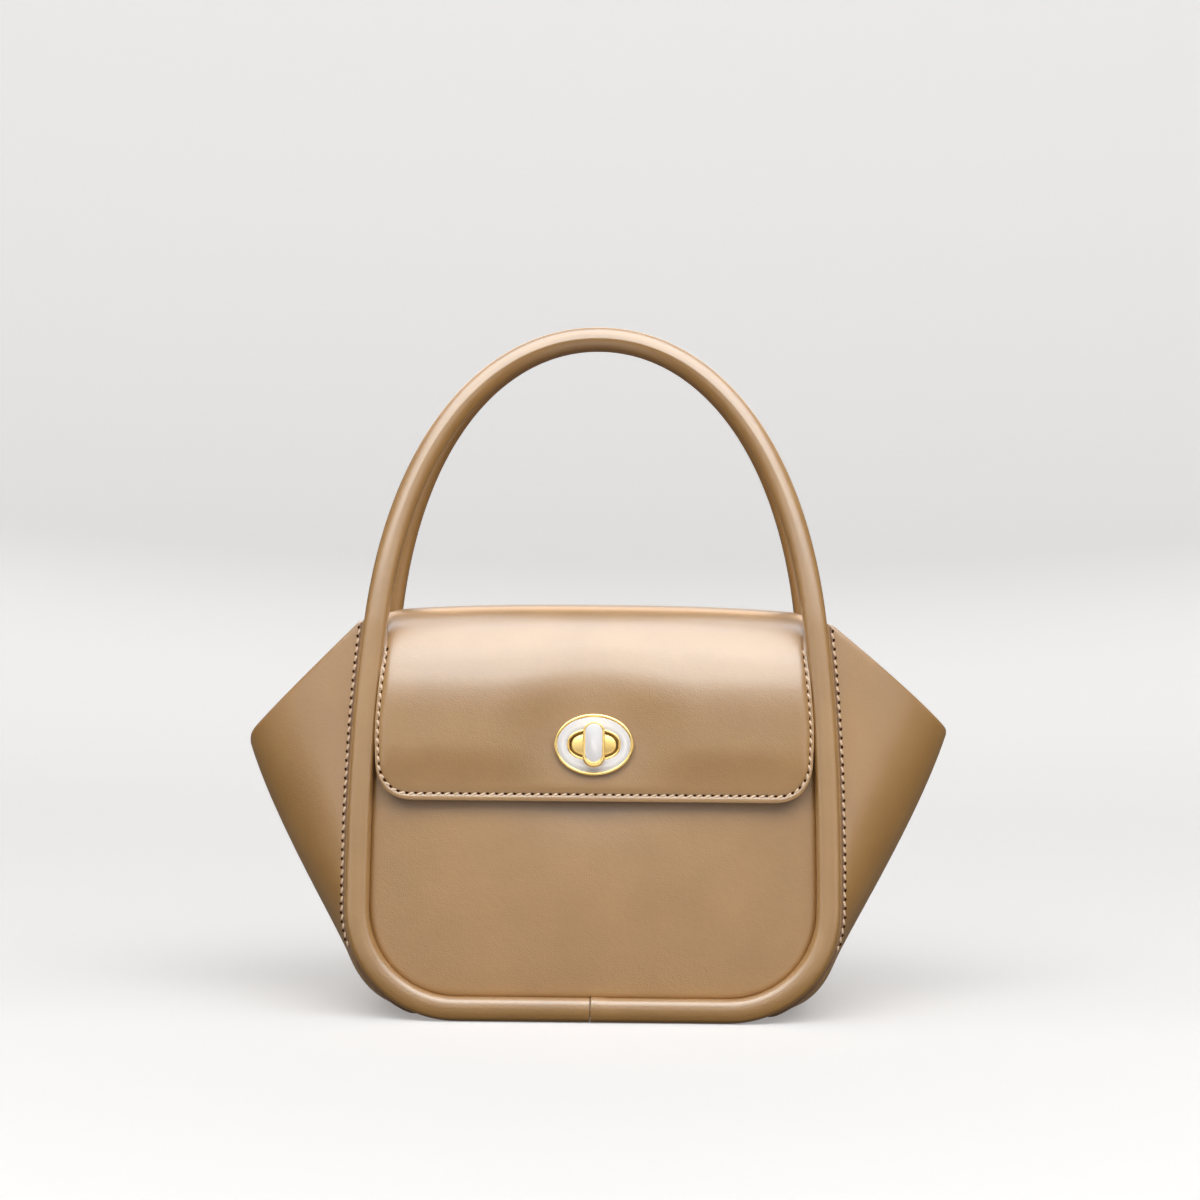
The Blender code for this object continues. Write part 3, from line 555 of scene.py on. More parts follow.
# Front and rear walls: one skin each, rounded at the foot, crowned a little and turned over the top edge
wall = {
    "behind": 1.5,            # outer face behind the tube's centre
    "outlineInset": 4.1,      # skin's edge inside the tube's centre line
    "edges": [0, 0.5, 1.1, 1.8, 2.6, 3.6, 5.0, 7.0, 10.0, 14.0, 18.0, 23.0, 29.0, 35.25],
    "tuck": 1.3,
    "tuckReach": 2.2,
    "crown": 1.1,
    "crownReach": 45.0,
    "crownPower": 0.6,
    "thickness": 1.2,
    "frontTop": 145.0,
    "rearTop": 144.0,
    "frontWidth": 9.9,        # over the turned top edge, outside to inside
    "rearWidth": 6.2,
    "turnRise": 2.0,
    "turnDown": 11.0,
    "turnSteps": 9,
    "turnShares": (0.3, 0.7, 1.0),
    "spacing": 4.0,
    "middleColumns": 14,
    "lockClear": 14.0,        # the skin is held flat this far from the lock's centre
    "dimpleReach": 30.0,      # and rises over this much more
    "lockHeight": 110.0,
}
cornerInset = loop["cornerRadius"] - wall["outlineInset"]


def lockCalm(x, height):
    distance = math.hypot(x, height - wall["lockHeight"]) - wall["lockClear"]
    return smooth(distance / wall["dimpleReach"])


def wallPoint(facing, x, height, inset, behind):
    crown = wall["crown"] * smooth(inset / wall["crownReach"])
    crown *= lockCalm(x, height) if facing == front else 1
    crown *= math.sin(math.pi * min(max(height / wall["frontTop"], 0), 1)) ** wall["crownPower"]
    tuck = wall["tuck"] * max(0, 1 - inset / wall["tuckReach"]) ** 2
    return Vector((x, facing * (depthAt(height) - wall["behind"] - behind + crown - tuck), height))


# Half width of a sheet inside the tube; below its round corner the full width counts
def sheetHalfWidth(height, low, radius):
    return (halfWidthAt(height) if height > low + radius else sideHalfWidth) - wall["outlineInset"]


def makeWall(name, facing, top, width, node):
    low = loop["radius"] + wall["outlineInset"]
    edgeRows = [low + e for e in wall["edges"]]
    count = round((top - wall["turnRise"] - edgeRows[-1]) / wall["spacing"])
    rows = edgeRows + evenly(edgeRows[-1], top - wall["turnRise"], count + 1)[1:]
    angles = evenly(0, math.pi, wall["turnSteps"])[1:]
    turn = [(width / 2 * (1 - math.cos(a)), wall["turnRise"] * math.sin(a)) for a in angles]
    turn += [(width, -wall["turnDown"] * share) for share in wall["turnShares"]]
    columns = 2 * len(wall["edges"]) + wall["middleColumns"]

    def place(i, j):
        height = rows[min(i, len(rows) - 1)]
        halfWidth = sheetHalfWidth(height, low, cornerInset)
        fromSide, side = crowdedColumn(j, columns, wall["edges"], halfWidth)
        fromSide, fromEdge = roundedCorner(fromSide, height - low, cornerInset)
        inset = insetFrom(fromSide, fromEdge, cornerInset)
        x = (halfWidth - fromSide) * side * -facing
        if i < len(rows):
            return wallPoint(facing, x, low + fromEdge, inset, 0) * mm
        behind, rise = turn[i - len(rows)]
        point = wallPoint(facing, x, rows[-1], inset, behind)
        return (point + Vector((0, -facing * math.tan(lean) * rise, rise))) * mm

    piece = shapedGrid(name, len(rows) + len(turn), columns, place)
    thicken(piece, wall["thickness"], satinCalf)
    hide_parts(node)
    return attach(piece, "bag_body")


makeWall("frontWall", front, wall["frontTop"], wall["frontWidth"], "front_panel")
makeWall("rearWall", rear, wall["rearTop"], wall["rearWidth"], "rear_panel")
print("walls made")


# Suede linings: each a soft sheet behind the stiffeners, tucked in under the leather's turned top edge
lining = {
    "frontBehind": 7.5,
    "rearBehind": 3.7,
    "thickness": 1.0,
    "margin": 1.0,            # inside the wall's edge
    "topDrop": 1.6,
    "columns": 34,
    "rows": 30,
    "ripple": 0.22,
    "waves": ((11, 17), (23, -9)),   # lengths across and up
    "pocketHalf": 55.0,
    "pocketLow": 40.0,
    "pocketHigh": 120.0,
    "pocketBehind": 5.0,
    "pocketCorner": 9.0,
    "pocketGrid": (26, 36),
    "pocketTurn": [(0.6, 0.5), (1.2, 0.0), (1.3, -1.5), (1.3, -7.0)],   # mouth's turned edge: inward, up
    "pocketThickness": 0.9,
    "pocketSag": 1.6,         # the pocket's mouth hangs open this much
    "pocketStitch": 2.4,
}


def ripple(x, height):
    return lining["ripple"] * sum(math.sin(x / a + height / b) for a, b in lining["waves"]) / 2


def makeWallLining(name, facing, behind, top, node):
    low = loop["radius"] + wall["outlineInset"] + lining["margin"]
    radius = cornerInset - lining["margin"]
    rows, columns = lining["rows"], lining["columns"]

    def place(i, j):
        height = low + (top - lining["topDrop"] - low) * i / (rows - 1)
        halfWidth = sheetHalfWidth(height, low, radius) - lining["margin"]
        fromSide, side = evenColumn(j, columns, halfWidth)
        fromSide, fromEdge = roundedCorner(fromSide, height - low, radius)
        x = side * (halfWidth - fromSide) * -facing
        height = low + fromEdge
        y = depthAt(height) - wall["behind"] - behind + ripple(x, height)
        return Vector((x, facing * y, height)) * mm

    piece = shapedGrid(name, rows, columns, place)
    thicken(piece, lining["thickness"], suedeLining)
    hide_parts(node)
    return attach(piece, "bag_body")


makeWallLining("frontLining", front, lining["frontBehind"], wall["frontTop"], "front_lining")
makeWallLining("rearLining", rear, lining["rearBehind"], wall["rearTop"], "rear_lining")


# Slip pocket: sewn on three sides, its mouth turned over and hanging a little open
def pocketPoint(x, height, inward=0):
    share = max(0, (height - lining["pocketLow"]) / (lining["pocketHigh"] - lining["pocketLow"]))
    sag = lining["pocketSag"] * share ** 3 * math.cos(math.pi * min(abs(x) / lining["pocketHalf"], 1) / 2)
    return Vector((x, depthAt(height) - wall["behind"] - lining["pocketBehind"] - sag - inward, height))


def makePocket():
    half, low, high = lining["pocketHalf"], lining["pocketLow"], lining["pocketHigh"]
    radius, turn = lining["pocketCorner"], lining["pocketTurn"]
    rows, columns = lining["pocketGrid"]

    def place(i, j):
        fromSide, side = evenColumn(j, columns, half)
        step = min(i, rows - 1)
        fromSide, fromEdge = roundedCorner(fromSide, (high - low) * step / (rows - 1), radius)
        inward, rise = turn[i - rows] if i >= rows else (0, 0)
        point = pocketPoint(-side * (half - fromSide), low + fromEdge, inward)
        return (point + Vector((0, 0, rise))) * mm

    piece = shapedGrid("slipPocket", rows + len(turn), columns, place)
    thicken(piece, lining["pocketThickness"], suedeLining)
    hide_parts("rear_pocket")
    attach(piece, "bag_body")
    inset = lining["pocketStitch"]
    inner = radius - inset
    right = [Vector((half - inset, h)) for h in evenly(high - 3, low + radius, 30)]
    right += [Vector((half - radius + inner * math.cos(a), low + radius - inner * math.sin(a)))
              for a in evenly(0, math.pi / 2, 10)[1:]]
    line = right + [Vector((-p.x, p.y)) for p in reversed(right)]
    places = seamPlaces(line, lambda p: (pocketPoint(p.x, p.y, 1.0), Vector((0, -1, 0))))
    for seam in sewSeam("pocket", places, 1):
        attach(seam, "bag_body")


makePocket()
print("linings made")


# Gusset strip: from the base seam round the corner and up, folded outward into a wing
wing = {
    "leather": 1.6,
    "liningGap": 0.3,
    "lining": 1.0,
    "baseLift": 1.5,
    "baseSeam": 52.0,
    "lap": 3.0,
    "reach": 6.6,             # stitch line from the tube's centre
    "cornerReach": 0.3,       # added to the reach round the lower corner
    "rootHeight": 159.0,
    # the fold's places: outward from the side tube, and height
    "tip": {-1: (50.1, 110.6), 1: (51.4, 115.2)},
    "tipRound": {-1: 4.0, 1: 1.6},
    "belly": {-1: (41.9, 80.0), 1: (40.6, 80.0)},
    "foot": {-1: (3.2, 15.5), 1: (1.6, 15.0)},
    "heel": (-5.5, 1.5),
    "heelStart": (-19.0, 1.5),
    "leaveShare": {-1: 0.74, 1: 0.78},
    "rimBulge": {-1: 0.6, 1: 3.0},  # the top edge bows out a little
    "leaveDepthShare": 0.03,
    "foldShare": 0.52,
    "cornerRun": 2.5,
    "ridge": 1.5,             # strip that stands up between the tube and the stitches
    "ridgeAt": -1.0,
    "ridgeWidth": 0.7,
    "valley": 0.45,
    "valleyWidth": 0.55,
    "reliefFrom": 4.6,        # ridge and valley fade in where the reach is longer than this
    "reliefOver": 1.8,
    "stitchSunk": 0.15,
    "rows": 62,
    "spanColumns": 22,
    "stitchTop": 157.0,
    "stitchLow": 30.0,
}


def foldChain(side):
    def at(spot):
        return Vector((sideHalfWidth + spot[0], spot[1]))
    foot = at(wing["foot"][side])
    heel = curve([at(wing["heelStart"]), at(wing["heel"]), foot], 12)
    fold = curve([foot, at(wing["belly"][side]), at(wing["tip"][side])], 48)
    return [Vector((wing["baseSeam"], wing["baseLift"]))] + heel + fold[1:]


def seamChain():
    chain = [Vector((wing["baseSeam"], loop["radius"]))] + cornerPoints(loop["cornerSteps"])
    return chain + [p for p in sidePoints(60)[1:] if p.y < wing["rootHeight"]] + [
        Vector((halfWidthAt(wing["rootHeight"]), wing["rootHeight"]))]


foldLines = {side: foldChain(side) for side in (-1, 1)}
foldLengths = {side: chainLength(line) for side, line in foldLines.items()}
seamLine = seamChain()
seamLength = chainLength(seamLine)


def seamNormal(share):
    before, after = (walk(seamLine, seamLength * min(max(share + d, 0), 1)) for d in (-0.004, 0.004))
    along = (after - before).normalized()
    return Vector((along.y, -along.x))


# Half of one cross-section, from behind the front tube to the fold. The stitch line is where it
# leaves the tube.
def sectionChain(seam, normal, fold, side):
    face = depthAt(seam.y) - loop["radius"] - wing["liningGap"]
    reach = wing["reach"] + wing["cornerReach"] * smooth(-normal.y * 3)
    if normal.y < 0:
        reach = min(reach, (seam.y - wing["baseLift"]) / -normal.y)
    lip = seam + normal * reach
    leave = lip.lerp(fold, wing["leaveShare"][side])
    leave.y += wing["rimBulge"][side] * (seam.y / wing["rootHeight"]) ** 2
    span = curve([Vector((lip.x, -face, lip.y)),
                  Vector((leave.x, -face * (1 - wing["leaveDepthShare"]), leave.y)),
                  Vector((fold.x, -face * wing["foldShare"], fold.y)), Vector((fold.x, 0, fold.y))], 40)
    hidden = seam - normal * wing["lap"]
    edge = Vector((hidden.x, -face, hidden.y))
    before = span[0] + (edge - span[0]).normalized() * wing["cornerRun"]
    after = walk(span, wing["cornerRun"])
    rest = [p for p in span if (p - span[0]).length > wing["cornerRun"]]
    rounded = curve([before, span[0], after], 8)
    return [edge] + rounded + rest, (before - edge).length + wing["cornerRun"] * 0.85, reach


stitchOffsets = [-3.2, -2.6, -2.1, -1.7, -1.3, -0.9, -0.5, -0.2, 0.1, 0.5, 0.9, 1.4, 2.0, 2.8]


def sectionPoints(share, side):
    seam, normal = walk(seamLine, seamLength * share), seamNormal(share)
    fold = walk(foldLines[side], foldLengths[side] * share)
    chain, stitchAt, reach = sectionChain(seam, normal, fold, side)
    length = chainLength(chain)
    last = stitchAt + stitchOffsets[-1]
    stops = [0] + [max(0.3 * (k + 1), stitchAt + d) for k, d in enumerate(stitchOffsets)]
    stops += [last + (length - last) * i / wing["spanColumns"] for i in range(1, wing["spanColumns"] + 1)]
    strength = smooth((reach - wing["reliefFrom"]) / wing["reliefOver"])
    found = []
    for stop in stops:
        point = walk(chain, stop)
        away = stop - stitchAt
        ridge = wing["ridge"] * bump(away - wing["ridgeAt"], wing["ridgeWidth"])
        valley = wing["valley"] * bump(away, wing["valleyWidth"])
        found.append(point + Vector((0, -1, 0)) * (strength * (ridge - valley)))
    return found


def stripRow(share, side):
    half = sectionPoints(share, side)
    half[-1].y = 0
    whole = half + [Vector((p.x, -p.y, p.z)) for p in reversed(half[:-1])]
    row = [Vector((side * p.x, p.y, p.z)) for p in whole]
    return row if side > 0 else row[::-1]


# The tip's corner is rounded by letting the top row dip along the fold
def dippedRows(rows, side):
    top, last = rows[-1], len(rows) - 1
    fold = top[len(top) // 2]
    radius = wing["tipRound"][side]

    def dipped(i, j):
        away = min(abs(fold.x - top[j].x) / radius, 1)
        dip = radius * (1 - math.sqrt(1 - (1 - away) ** 2)) / foldLengths[side]
        at = i * (1 - dip)
        low = min(int(at), last - 1)
        return rows[low][j].lerp(rows[low + 1][j], at - low)
    return [[dipped(i, j) for j in range(len(top))] for i in range(last + 1)]


def makeWing(name, side, topShare, depth, thickness, material, node):
    rows = [stripRow(topShare * i / (wing["rows"] - 1), side) for i in range(wing["rows"])]
    rows = dippedRows(rows, side)
    piece = shapedGrid(name, len(rows), len(rows[0]), lambda i, j: rows[i][j] * mm)
    if depth:
        shapeWith(piece, "DISPLACE", strength=-depth * mm, mid_level=0)
    thicken(piece, thickness, material)
    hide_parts(node)
    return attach(piece, "bag_body")


def wingStitchPlace(side, facing):
    def look(point):
        share = point.x
        seam, normal = walk(seamLine, seamLength * share), seamNormal(share)
        spot = seam + normal * wing["reach"]
        y = facing * (depthAt(seam.y) - loop["radius"] - wing["liningGap"] - wing["stitchSunk"])
        return Vector((side * spot.x, y, spot.y)), Vector((0, facing, 0))
    return look


def shareAtHeight(height):
    for i in range(400):
        if walk(seamLine, seamLength * i / 400).y >= height:
            return i / 400
    return 1.0


liningDepth = wing["leather"] + wing["liningGap"]
stitched = evenly(shareAtHeight(wing["stitchLow"]), shareAtHeight(wing["stitchTop"]), 80)
for side, label in ((-1, "left"), (1, "right")):
    makeWing(label + "Wing", side, 1.0, 0, wing["leather"], satinCalf, label + "_gusset")
    makeWing(label + "WingLining", side, 0.994, liningDepth, wing["lining"], suedeLining,
             label + "_gusset_lining")
    for facing, where in ((front, "Front"), (rear, "Rear")):
        places = seamPlaces([Vector((share, 0)) for share in stitched], wingStitchPlace(side, facing))
        for piece in sewSeam(label + "Wing" + where, places, side * facing, -side * facing):
            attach(piece, "bag_body")


# Base: leather that turns up behind both tubes, lapped and sewn to the gussets' ends, with suede inside
base = {
    "ends": [-51.7, -51.2, -49.0],
    "middle": 44.0,
    "seamAt": 48.5,
    "seamHalf": 40.0,
    "liningHalf": (51.7, 41.0),
    "liningHeight": 6.5,
    "liningGrid": (28, 36),
    "liningThickness": 0.8,
}


def makeBase():
    row = stripRow(0, 1)
    spots = base["ends"] + evenly(-base["middle"], base["middle"], 12) + [-x for x in reversed(base["ends"])]

    def outside(i, j):
        return Vector((spots[i], row[j].y, row[j].z)) * mm

    piece = shapedGrid("basePanel", len(spots), len(row), outside)
    thicken(piece, wing["leather"], satinCalf)
    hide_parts("base_panel")
    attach(piece, "bag_body")
    for x, label in ((-base["seamAt"], "left"), (base["seamAt"], "right")):
        line = [Vector((x, y)) for y in evenly(-base["seamHalf"], base["seamHalf"], 30)]
        places = seamPlaces(line, lambda p: (Vector((p.x, p.y, wing["baseLift"])), Vector((0, 0, -1))))
        for seam in sewSeam(label + "Base", places, 1):
            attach(seam, "bag_body")

    halfX, halfY = base["liningHalf"]
    rows, columns = base["liningGrid"]

    def inside(i, j):
        x, y = -halfX + 2 * halfX * j / (columns - 1), -halfY + 2 * halfY * i / (rows - 1)
        return Vector((x, y, base["liningHeight"] + ripple(x, y))) * mm

    sheet = shapedGrid("baseLining", rows, columns, inside)
    thicken(sheet, base["liningThickness"], suedeLining)
    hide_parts("base_lining")
    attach(sheet, "bag_body")


makeBase()
print("wings and base made")


# Flap: one leather from the rear lap over the roof, round the front roll and down to its free edge
flap = {
    "bottom": 87.9,
    "flatTop": 125.0,
    "frontStand": 7.2,        # outer face in front of the wall's face
    "rollLowHold": 22.5,
    "rollTopHold": 16.0,
    "roofHeight": 164.5,
    "roofFront": -15.0,
    "roofRear": 10.0,
    "lapTop": 142.0,
    "lapBottom": 126.0,
    "lapHold": 13.0,
    "lapStand": 2.1,          # outer face behind the rear wall's face
    "roofHalfWidth": 86.8,    # between the front and rear handles the roof reaches in behind the tubes
    "roofReach": 30.0,
    "roofTaper": 4.0,
    "tubeGap": 4.1,           # the flap's edge rests against the tube's inner flank
    "lowGap": 1.9,            # its sides run straighter than the tubes, so they part lower down
    "lowGapSpan": (120, 28),  # below this height, over this much
    "rollGap": -0.3,
    "rollGapSpan": (145, 9),
    "cornerRadius": 14.5,
    "lapCorner": 4.0,
    "edges": [0, 0.3, 0.7, 1.1, 1.45, 1.8, 2.15, 2.5, 2.9, 3.4, 4.1, 5.2, 6.9, 9.2, 11.8, 14.5],
    "lapEdges": [0, 0.3, 0.7, 1.15, 1.55, 1.9, 2.3, 2.7, 3.1, 3.6, 4.0],
    "middleColumns": 40,
    "sideStitch": 1.5,        # stitch line inside the edge, at the sides and at the free edge
    "endStitch": 2.7,
    "edgeDrop": 0.45,
    "edgeReach": 3.0,
    "lip": 0.25,
    "lipReach": 0.9,
    "valley": 1.0,
    "valleyWidth": 0.45,
    "padSpan": (2, 20),       # the padding fills out from the free edge
    "rollSpan": 22,           # and thins by a share over this run before the bend
    "rollThinShare": 0.65,
    "puff": (0.9, 1.4),       # quick rise beside the stitches, then a slow one
    "puffReach": (1.8, 10.0),
    "droop": 2.4,             # the roof's sides hang this much lower than its middle
    "droopPower": 2.4,
    "droopOver": 26,
    "lapSpan": (34, 16),      # run before the lap's end where the droop fades, and over how much
    "shell": 3.2,
    "shellThin": 0.6,
    "shellSpan": (38, 10),
    "lining": 0.8,
    "spacing": 3.2,
    "bendReach": 9.0,
    "seamTop": 151.0,         # above this the side stitches pass behind the tubes
    "window": (10.9, 7.3),
    "windowCut": (0.5, 12.0),
}


def flapProfile():
    def frontFace(height):
        return -(depthAt(height) - wall["behind"] + flap["frontStand"])

    def lapFace(height):
        return depthAt(height) - wall["behind"] + flap["lapStand"]
    foot = Vector((frontFace(flap["bottom"]), flap["bottom"]))
    start = Vector((frontFace(flap["flatTop"]), flap["flatTop"]))
    up = Vector((math.sin(lean), math.cos(lean)))
    top = Vector((flap["roofFront"], flap["roofHeight"]))
    roll = curve([start, start + up * flap["rollLowHold"], top - Vector((flap["rollTopHold"], 0)), top], 40)
    back = Vector((flap["roofRear"], flap["roofHeight"]))
    low = Vector((lapFace(flap["lapTop"]), flap["lapTop"]))
    over = curve([back, back + Vector((flap["rollTopHold"], 0)),
                  low + Vector((-up.x, up.y)) * flap["lapHold"], low], 30)
    lapEnd = Vector((lapFace(flap["lapBottom"]), flap["lapBottom"]))
    return [foot] + roll + over + [lapEnd], roll[20]


profile, bendPoint = flapProfile()
flapLength = chainLength(profile)
bendRun = chainLength(profile[:22])                       # from the free edge up to the bend


def flapHalfWidth(run):
    point = walk(profile, run)
    height = min(max(point.y, flap["bottom"]), loop["rootHeight"])
    (lowFrom, lowOver), (rollFrom, rollOver) = flap["lowGapSpan"], flap["rollGapSpan"]
    gap = flap["tubeGap"] + flap["lowGap"] * smooth((lowFrom - height) / lowOver)
    gap += flap["rollGap"] * smooth((height - rollFrom) / rollOver)
    beside = halfWidthAt(height) - gap
    inner = smooth((flap["roofReach"] + flap["roofTaper"] - abs(point.x)) / flap["roofTaper"])
    return beside + (flap["roofHalfWidth"] - beside) * inner


def flapInset(run, x):
    fromSide = flapHalfWidth(run) - abs(x)
    if run < flapLength / 2:
        return insetFrom(fromSide, run, flap["cornerRadius"])
    return insetFrom(fromSide, flapLength - run, flap["lapCorner"])


def stitchInset(run, x):
    fromSide = flapHalfWidth(run) - abs(x)
    fromEdge = min(run, flapLength - run)
    radius = flap["cornerRadius"] if run < flapLength / 2 else flap["lapCorner"]
    turn = math.atan2(max(radius - fromEdge, 0), max(radius - fromSide, 0.001)) / (math.pi / 2)
    return flap["sideStitch"] + (flap["endStitch"] - flap["sideStitch"]) * turn


def flapFrame(run):
    point = walk(profile, run)
    flow = (walk(profile, min(run + 0.5, flapLength)) - walk(profile, max(run - 0.5, 0))).normalized()
    return point, Vector((-flow.y, flow.x))


def flapRelief(run, x):
    inset = flapInset(run, x)
    point = walk(profile, run)
    calm = lockCalm(x, point.y) if run < bendRun else 1
    padFrom, padOver = flap["padSpan"]
    thin = flap["rollThinShare"] * smooth((run - bendRun + flap["rollSpan"]) / flap["rollSpan"])
    padded = smooth((run - padFrom) / padOver) * (1 - thin)
    away = inset - stitchInset(run, x)
    sizes = zip(flap["puff"], flap["puffReach"])
    puff = sum(size * (1 - math.exp(-max(away, 0) / reach)) for size, reach in sizes)
    puff *= padded
    edge = -flap["edgeDrop"] * (1 - smooth(away / flap["edgeReach"]))
    lip = -flap["lip"] * (1 - smooth(inset / flap["lipReach"]))
    groove = -(flap["valley"] - flap["edgeDrop"]) * bump(away, flap["valleyWidth"])
    plain = 1 - smooth((point.y - flap["seamTop"] + 5) / 7) if point.x < -flap["roofReach"] else 1
    return puff * calm + (edge + lip + groove) * plain


def flapDroop(run, x):
    lapRun, lapOver = flap["lapSpan"]
    reach = smooth((run - bendRun + flap["rollSpan"]) / flap["droopOver"])
    reach *= 1 - smooth((run - flapLength + lapRun) / lapOver)
    return flap["droop"] * reach * (abs(x) / flap["roofHalfWidth"]) ** flap["droopPower"]


def flapPoint(run, x, depth=0):
    point, normal = flapFrame(run)
    outward = Vector((0, normal.x, normal.y))
    relief = flapRelief(run, x) if depth == 0 else -depth
    return Vector((x, point.x, point.y - flapDroop(run, x))) + outward * relief, outward


def shellDepth(run):
    thinFrom, thinOver = flap["shellSpan"]
    return flap["shell"] - flap["shellThin"] * smooth((run - thinFrom) / thinOver)


def flapSpot(run, j, columns, inset):
    halfWidth = flapHalfWidth(run)
    fromSide, side = crowdedColumn(j, columns, flap["edges"], halfWidth)
    fromSide += inset * max(0, 1 - fromSide / flap["edges"][-1])
    if run < flapLength / 2:
        fromSide, run = roundedCorner(fromSide, run, flap["cornerRadius"])
    else:
        fromSide, left = roundedCorner(fromSide, flapLength - run, flap["lapCorner"])
        run = flapLength - left
    return run, (halfWidth - fromSide) * side


def flapRuns(inset):
    low = [inset] + [e for e in flap["edges"][1:] if e >= inset]
    high = [flapLength - e for e in reversed(flap["lapEdges"]) if e >= inset or e == 0]
    if inset:
        high[-1] = flapLength - inset
    count = round((high[0] - low[-1]) / flap["spacing"])
    return low + evenly(low[-1], high[0], count + 1)[1:-1] + high


def makeFlapSheet(name, inset, depth, thickness, material, nodes):
    runs = flapRuns(inset)
    columns = 2 * len(flap["edges"]) + flap["middleColumns"]

    def place(i, j):
        run, x = flapSpot(runs[i], j, columns, inset)
        return flapPoint(run, x, depth(run) if depth else 0)[0] * mm

    piece = shapedGrid(name, len(runs), columns, place)
    shapeWith(piece, "SOLIDIFY", thickness=thickness * mm, offset=-1)
    soften(piece)
    cutWindow(piece, flap["window"], *flap["windowCut"])
    dress(piece, material)
    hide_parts(*nodes)
    return bendFlap(piece)


lockAt = Vector((0, -(depthAt(wall["lockHeight"]) - wall["behind"]), wall["lockHeight"]))


# Lock pieces are modelled lying flat, their fronts up, and then stood up on the wall
def placeOnLock(piece):
    basis = Matrix((Vector((1, 0, 0)), upWall, outWall)).transposed().to_4x4()
    piece.data.transform(Matrix.Translation(lockAt * mm) @ basis)
    return piece


def cutWindow(piece, half, low, high):
    cutter = placeOnLock(flatCylinder("windowCutter", half, low, high, 64))
    shapeWith(piece, "BOOLEAN", operation="DIFFERENCE", solver="EXACT", object=cutter)
    bpy.data.objects.remove(cutter)


flow = (walk(profile, bendRun + 1) - walk(profile, bendRun - 1)).normalized()


def bendFlap(piece):
    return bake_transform(piece)


makeFlapSheet("flapLeather", 0, None, flap["shell"] - 0.3, satinCalf,
              ("flap_front", "flap_top"))
makeFlapSheet("flapLining", 0.9, lambda run: shellDepth(run) + 0.05, flap["lining"], suedeLining,
              ("flap_lining", "flap_top_lining"))


def flapSide(side, fromRun, toRun):
    return [Vector((side * (flapHalfWidth(run) - flap["sideStitch"]), run))
            for run in evenly(fromRun, toRun, 90)]


def frontSeam(fromRun):
    radius = flap["cornerRadius"]
    right = flapSide(1, fromRun, radius)[:-1]
    for share in evenly(0, 1, 13):
        inset = flap["sideStitch"] + (flap["endStitch"] - flap["sideStitch"]) * share
        a = share * math.pi / 2
        right.append(Vector((flapHalfWidth(radius) - radius + (radius - inset) * math.cos(a),
                             radius - (radius - inset) * math.sin(a))))
    return right + [Vector((-p.x, p.y)) for p in reversed(right)]


def flapLook(point):
    return flapPoint(point.y, point.x)


def runAt(test):
    return next(i / 2 for i in range(int(flapLength * 2)) if test(walk(profile, i / 2)))


seamTop = runAt(lambda p: p.y > flap["seamTop"])
roofStart = runAt(lambda p: p.x > -flap["roofReach"])
roofEnd = runAt(lambda p: p.x > flap["roofReach"])
lapStart = runAt(lambda p: p.x > 0 and p.y < flap["seamTop"])
for piece in sewSeam("flap", seamPlaces(frontSeam(seamTop), flapLook), -1, 1.8, 0.3):
    bendFlap(piece)
for side, label in ((-1, "left"), (1, "right")):
    places = seamPlaces(flapSide(side, roofStart, roofEnd), flapLook)
    places += seamPlaces(flapSide(side, lapStart, flapLength - 6), flapLook)
    for piece in sewSeam(label + "Roof", places, side, 1, 0.3):
        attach(piece, "bag_body")
lapChain = [Vector((x, flapLength - flap["endStitch"])) for x in evenly(-78.5, 78.5, 60)]
for piece in sewSeam("lap", seamPlaces(lapChain, flapLook), -1, 1.4, 0.3):
    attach(piece, "bag_body")
print("flap made")


# Twist lock: oval plate with an enamel ring, domed boss and quarter-turn knob. Rises are above the
# wall's face.
lock = {
    "plateHalf": (15.9, 12.3),
    "plateLow": 6.9,
    "plateHigh": 9.5,
    "enamelOuter": (14.65, 11.05),
    "enamelInner": (10.75, 6.4),
    "plateInner": (9.8, 5.5),
    "plateBevels": (0.2, 0.42, 0.36),
    "bedDrop": 0.7,
    "rimBite": 0.1,           # the rims start this much inside the base
    "innerDrop": 0.1,
    "enamelSpread": 0.12,     # and the enamel runs this far under them
    "enamelBite": 0.05,
    "enamelDrop": 0.28,
    "bossHalf": (8.95, 4.55),
    "bossLow": 0.3,
    "bossSide": 8.5,
    "fullness": 2.4,          # 2 would be a plain oval
    "bossDome": 0.9,
    "domeTurn": math.radians(84),
    "domeSteps": 10,
    "footHalf": (10.6, 10.2),
    "footHigh": 1.5,
    "footBevel": 0.35,
    "rivetRise": 8.0,
    "rivetHalf": (1.7, 1.7),
    "rivetHigh": (-0.2, 0.7),
    "rivetBevel": 0.5,
    "knobHalf": (4.4, 9.1),
    "knobLow": 10.1,
    "knobHigh": 12.9,
    "knobRim": 1.05,
    "knobSides": 64,
    "knobBevel": 0.7,
    "inlayBed": 0.5,
    "inlayBevel": 0.25,
    "inlayProud": 0.05,
    "inlayLift": 0.7,         # the inlay sits high, with a thick gold lip below it
    "inlayShort": 0.45,
    "stem": 2.5,
    "stemEnd": -7.0,
    "backingHalf": (15.6, 11.0),
    "backingHole": (10.9, 7.3),
    "backingLow": 1.9,
    "backingHigh": 2.7,
}


def pickFaces(piece, test):
    bpy.ops.object.mode_set(mode="OBJECT")
    for face in piece.data.polygons:
        face.select = test(face)
    for edge in piece.data.edges:
        edge.select = False
    for vertex in piece.data.vertices:
        vertex.select = False
    bpy.ops.object.mode_set(mode="EDIT")
    bpy.ops.mesh.select_mode(type="FACE")


def capTest(facing, sides):
    return lambda face: len(face.vertices) >= sides and face.normal.z * facing > 0.9


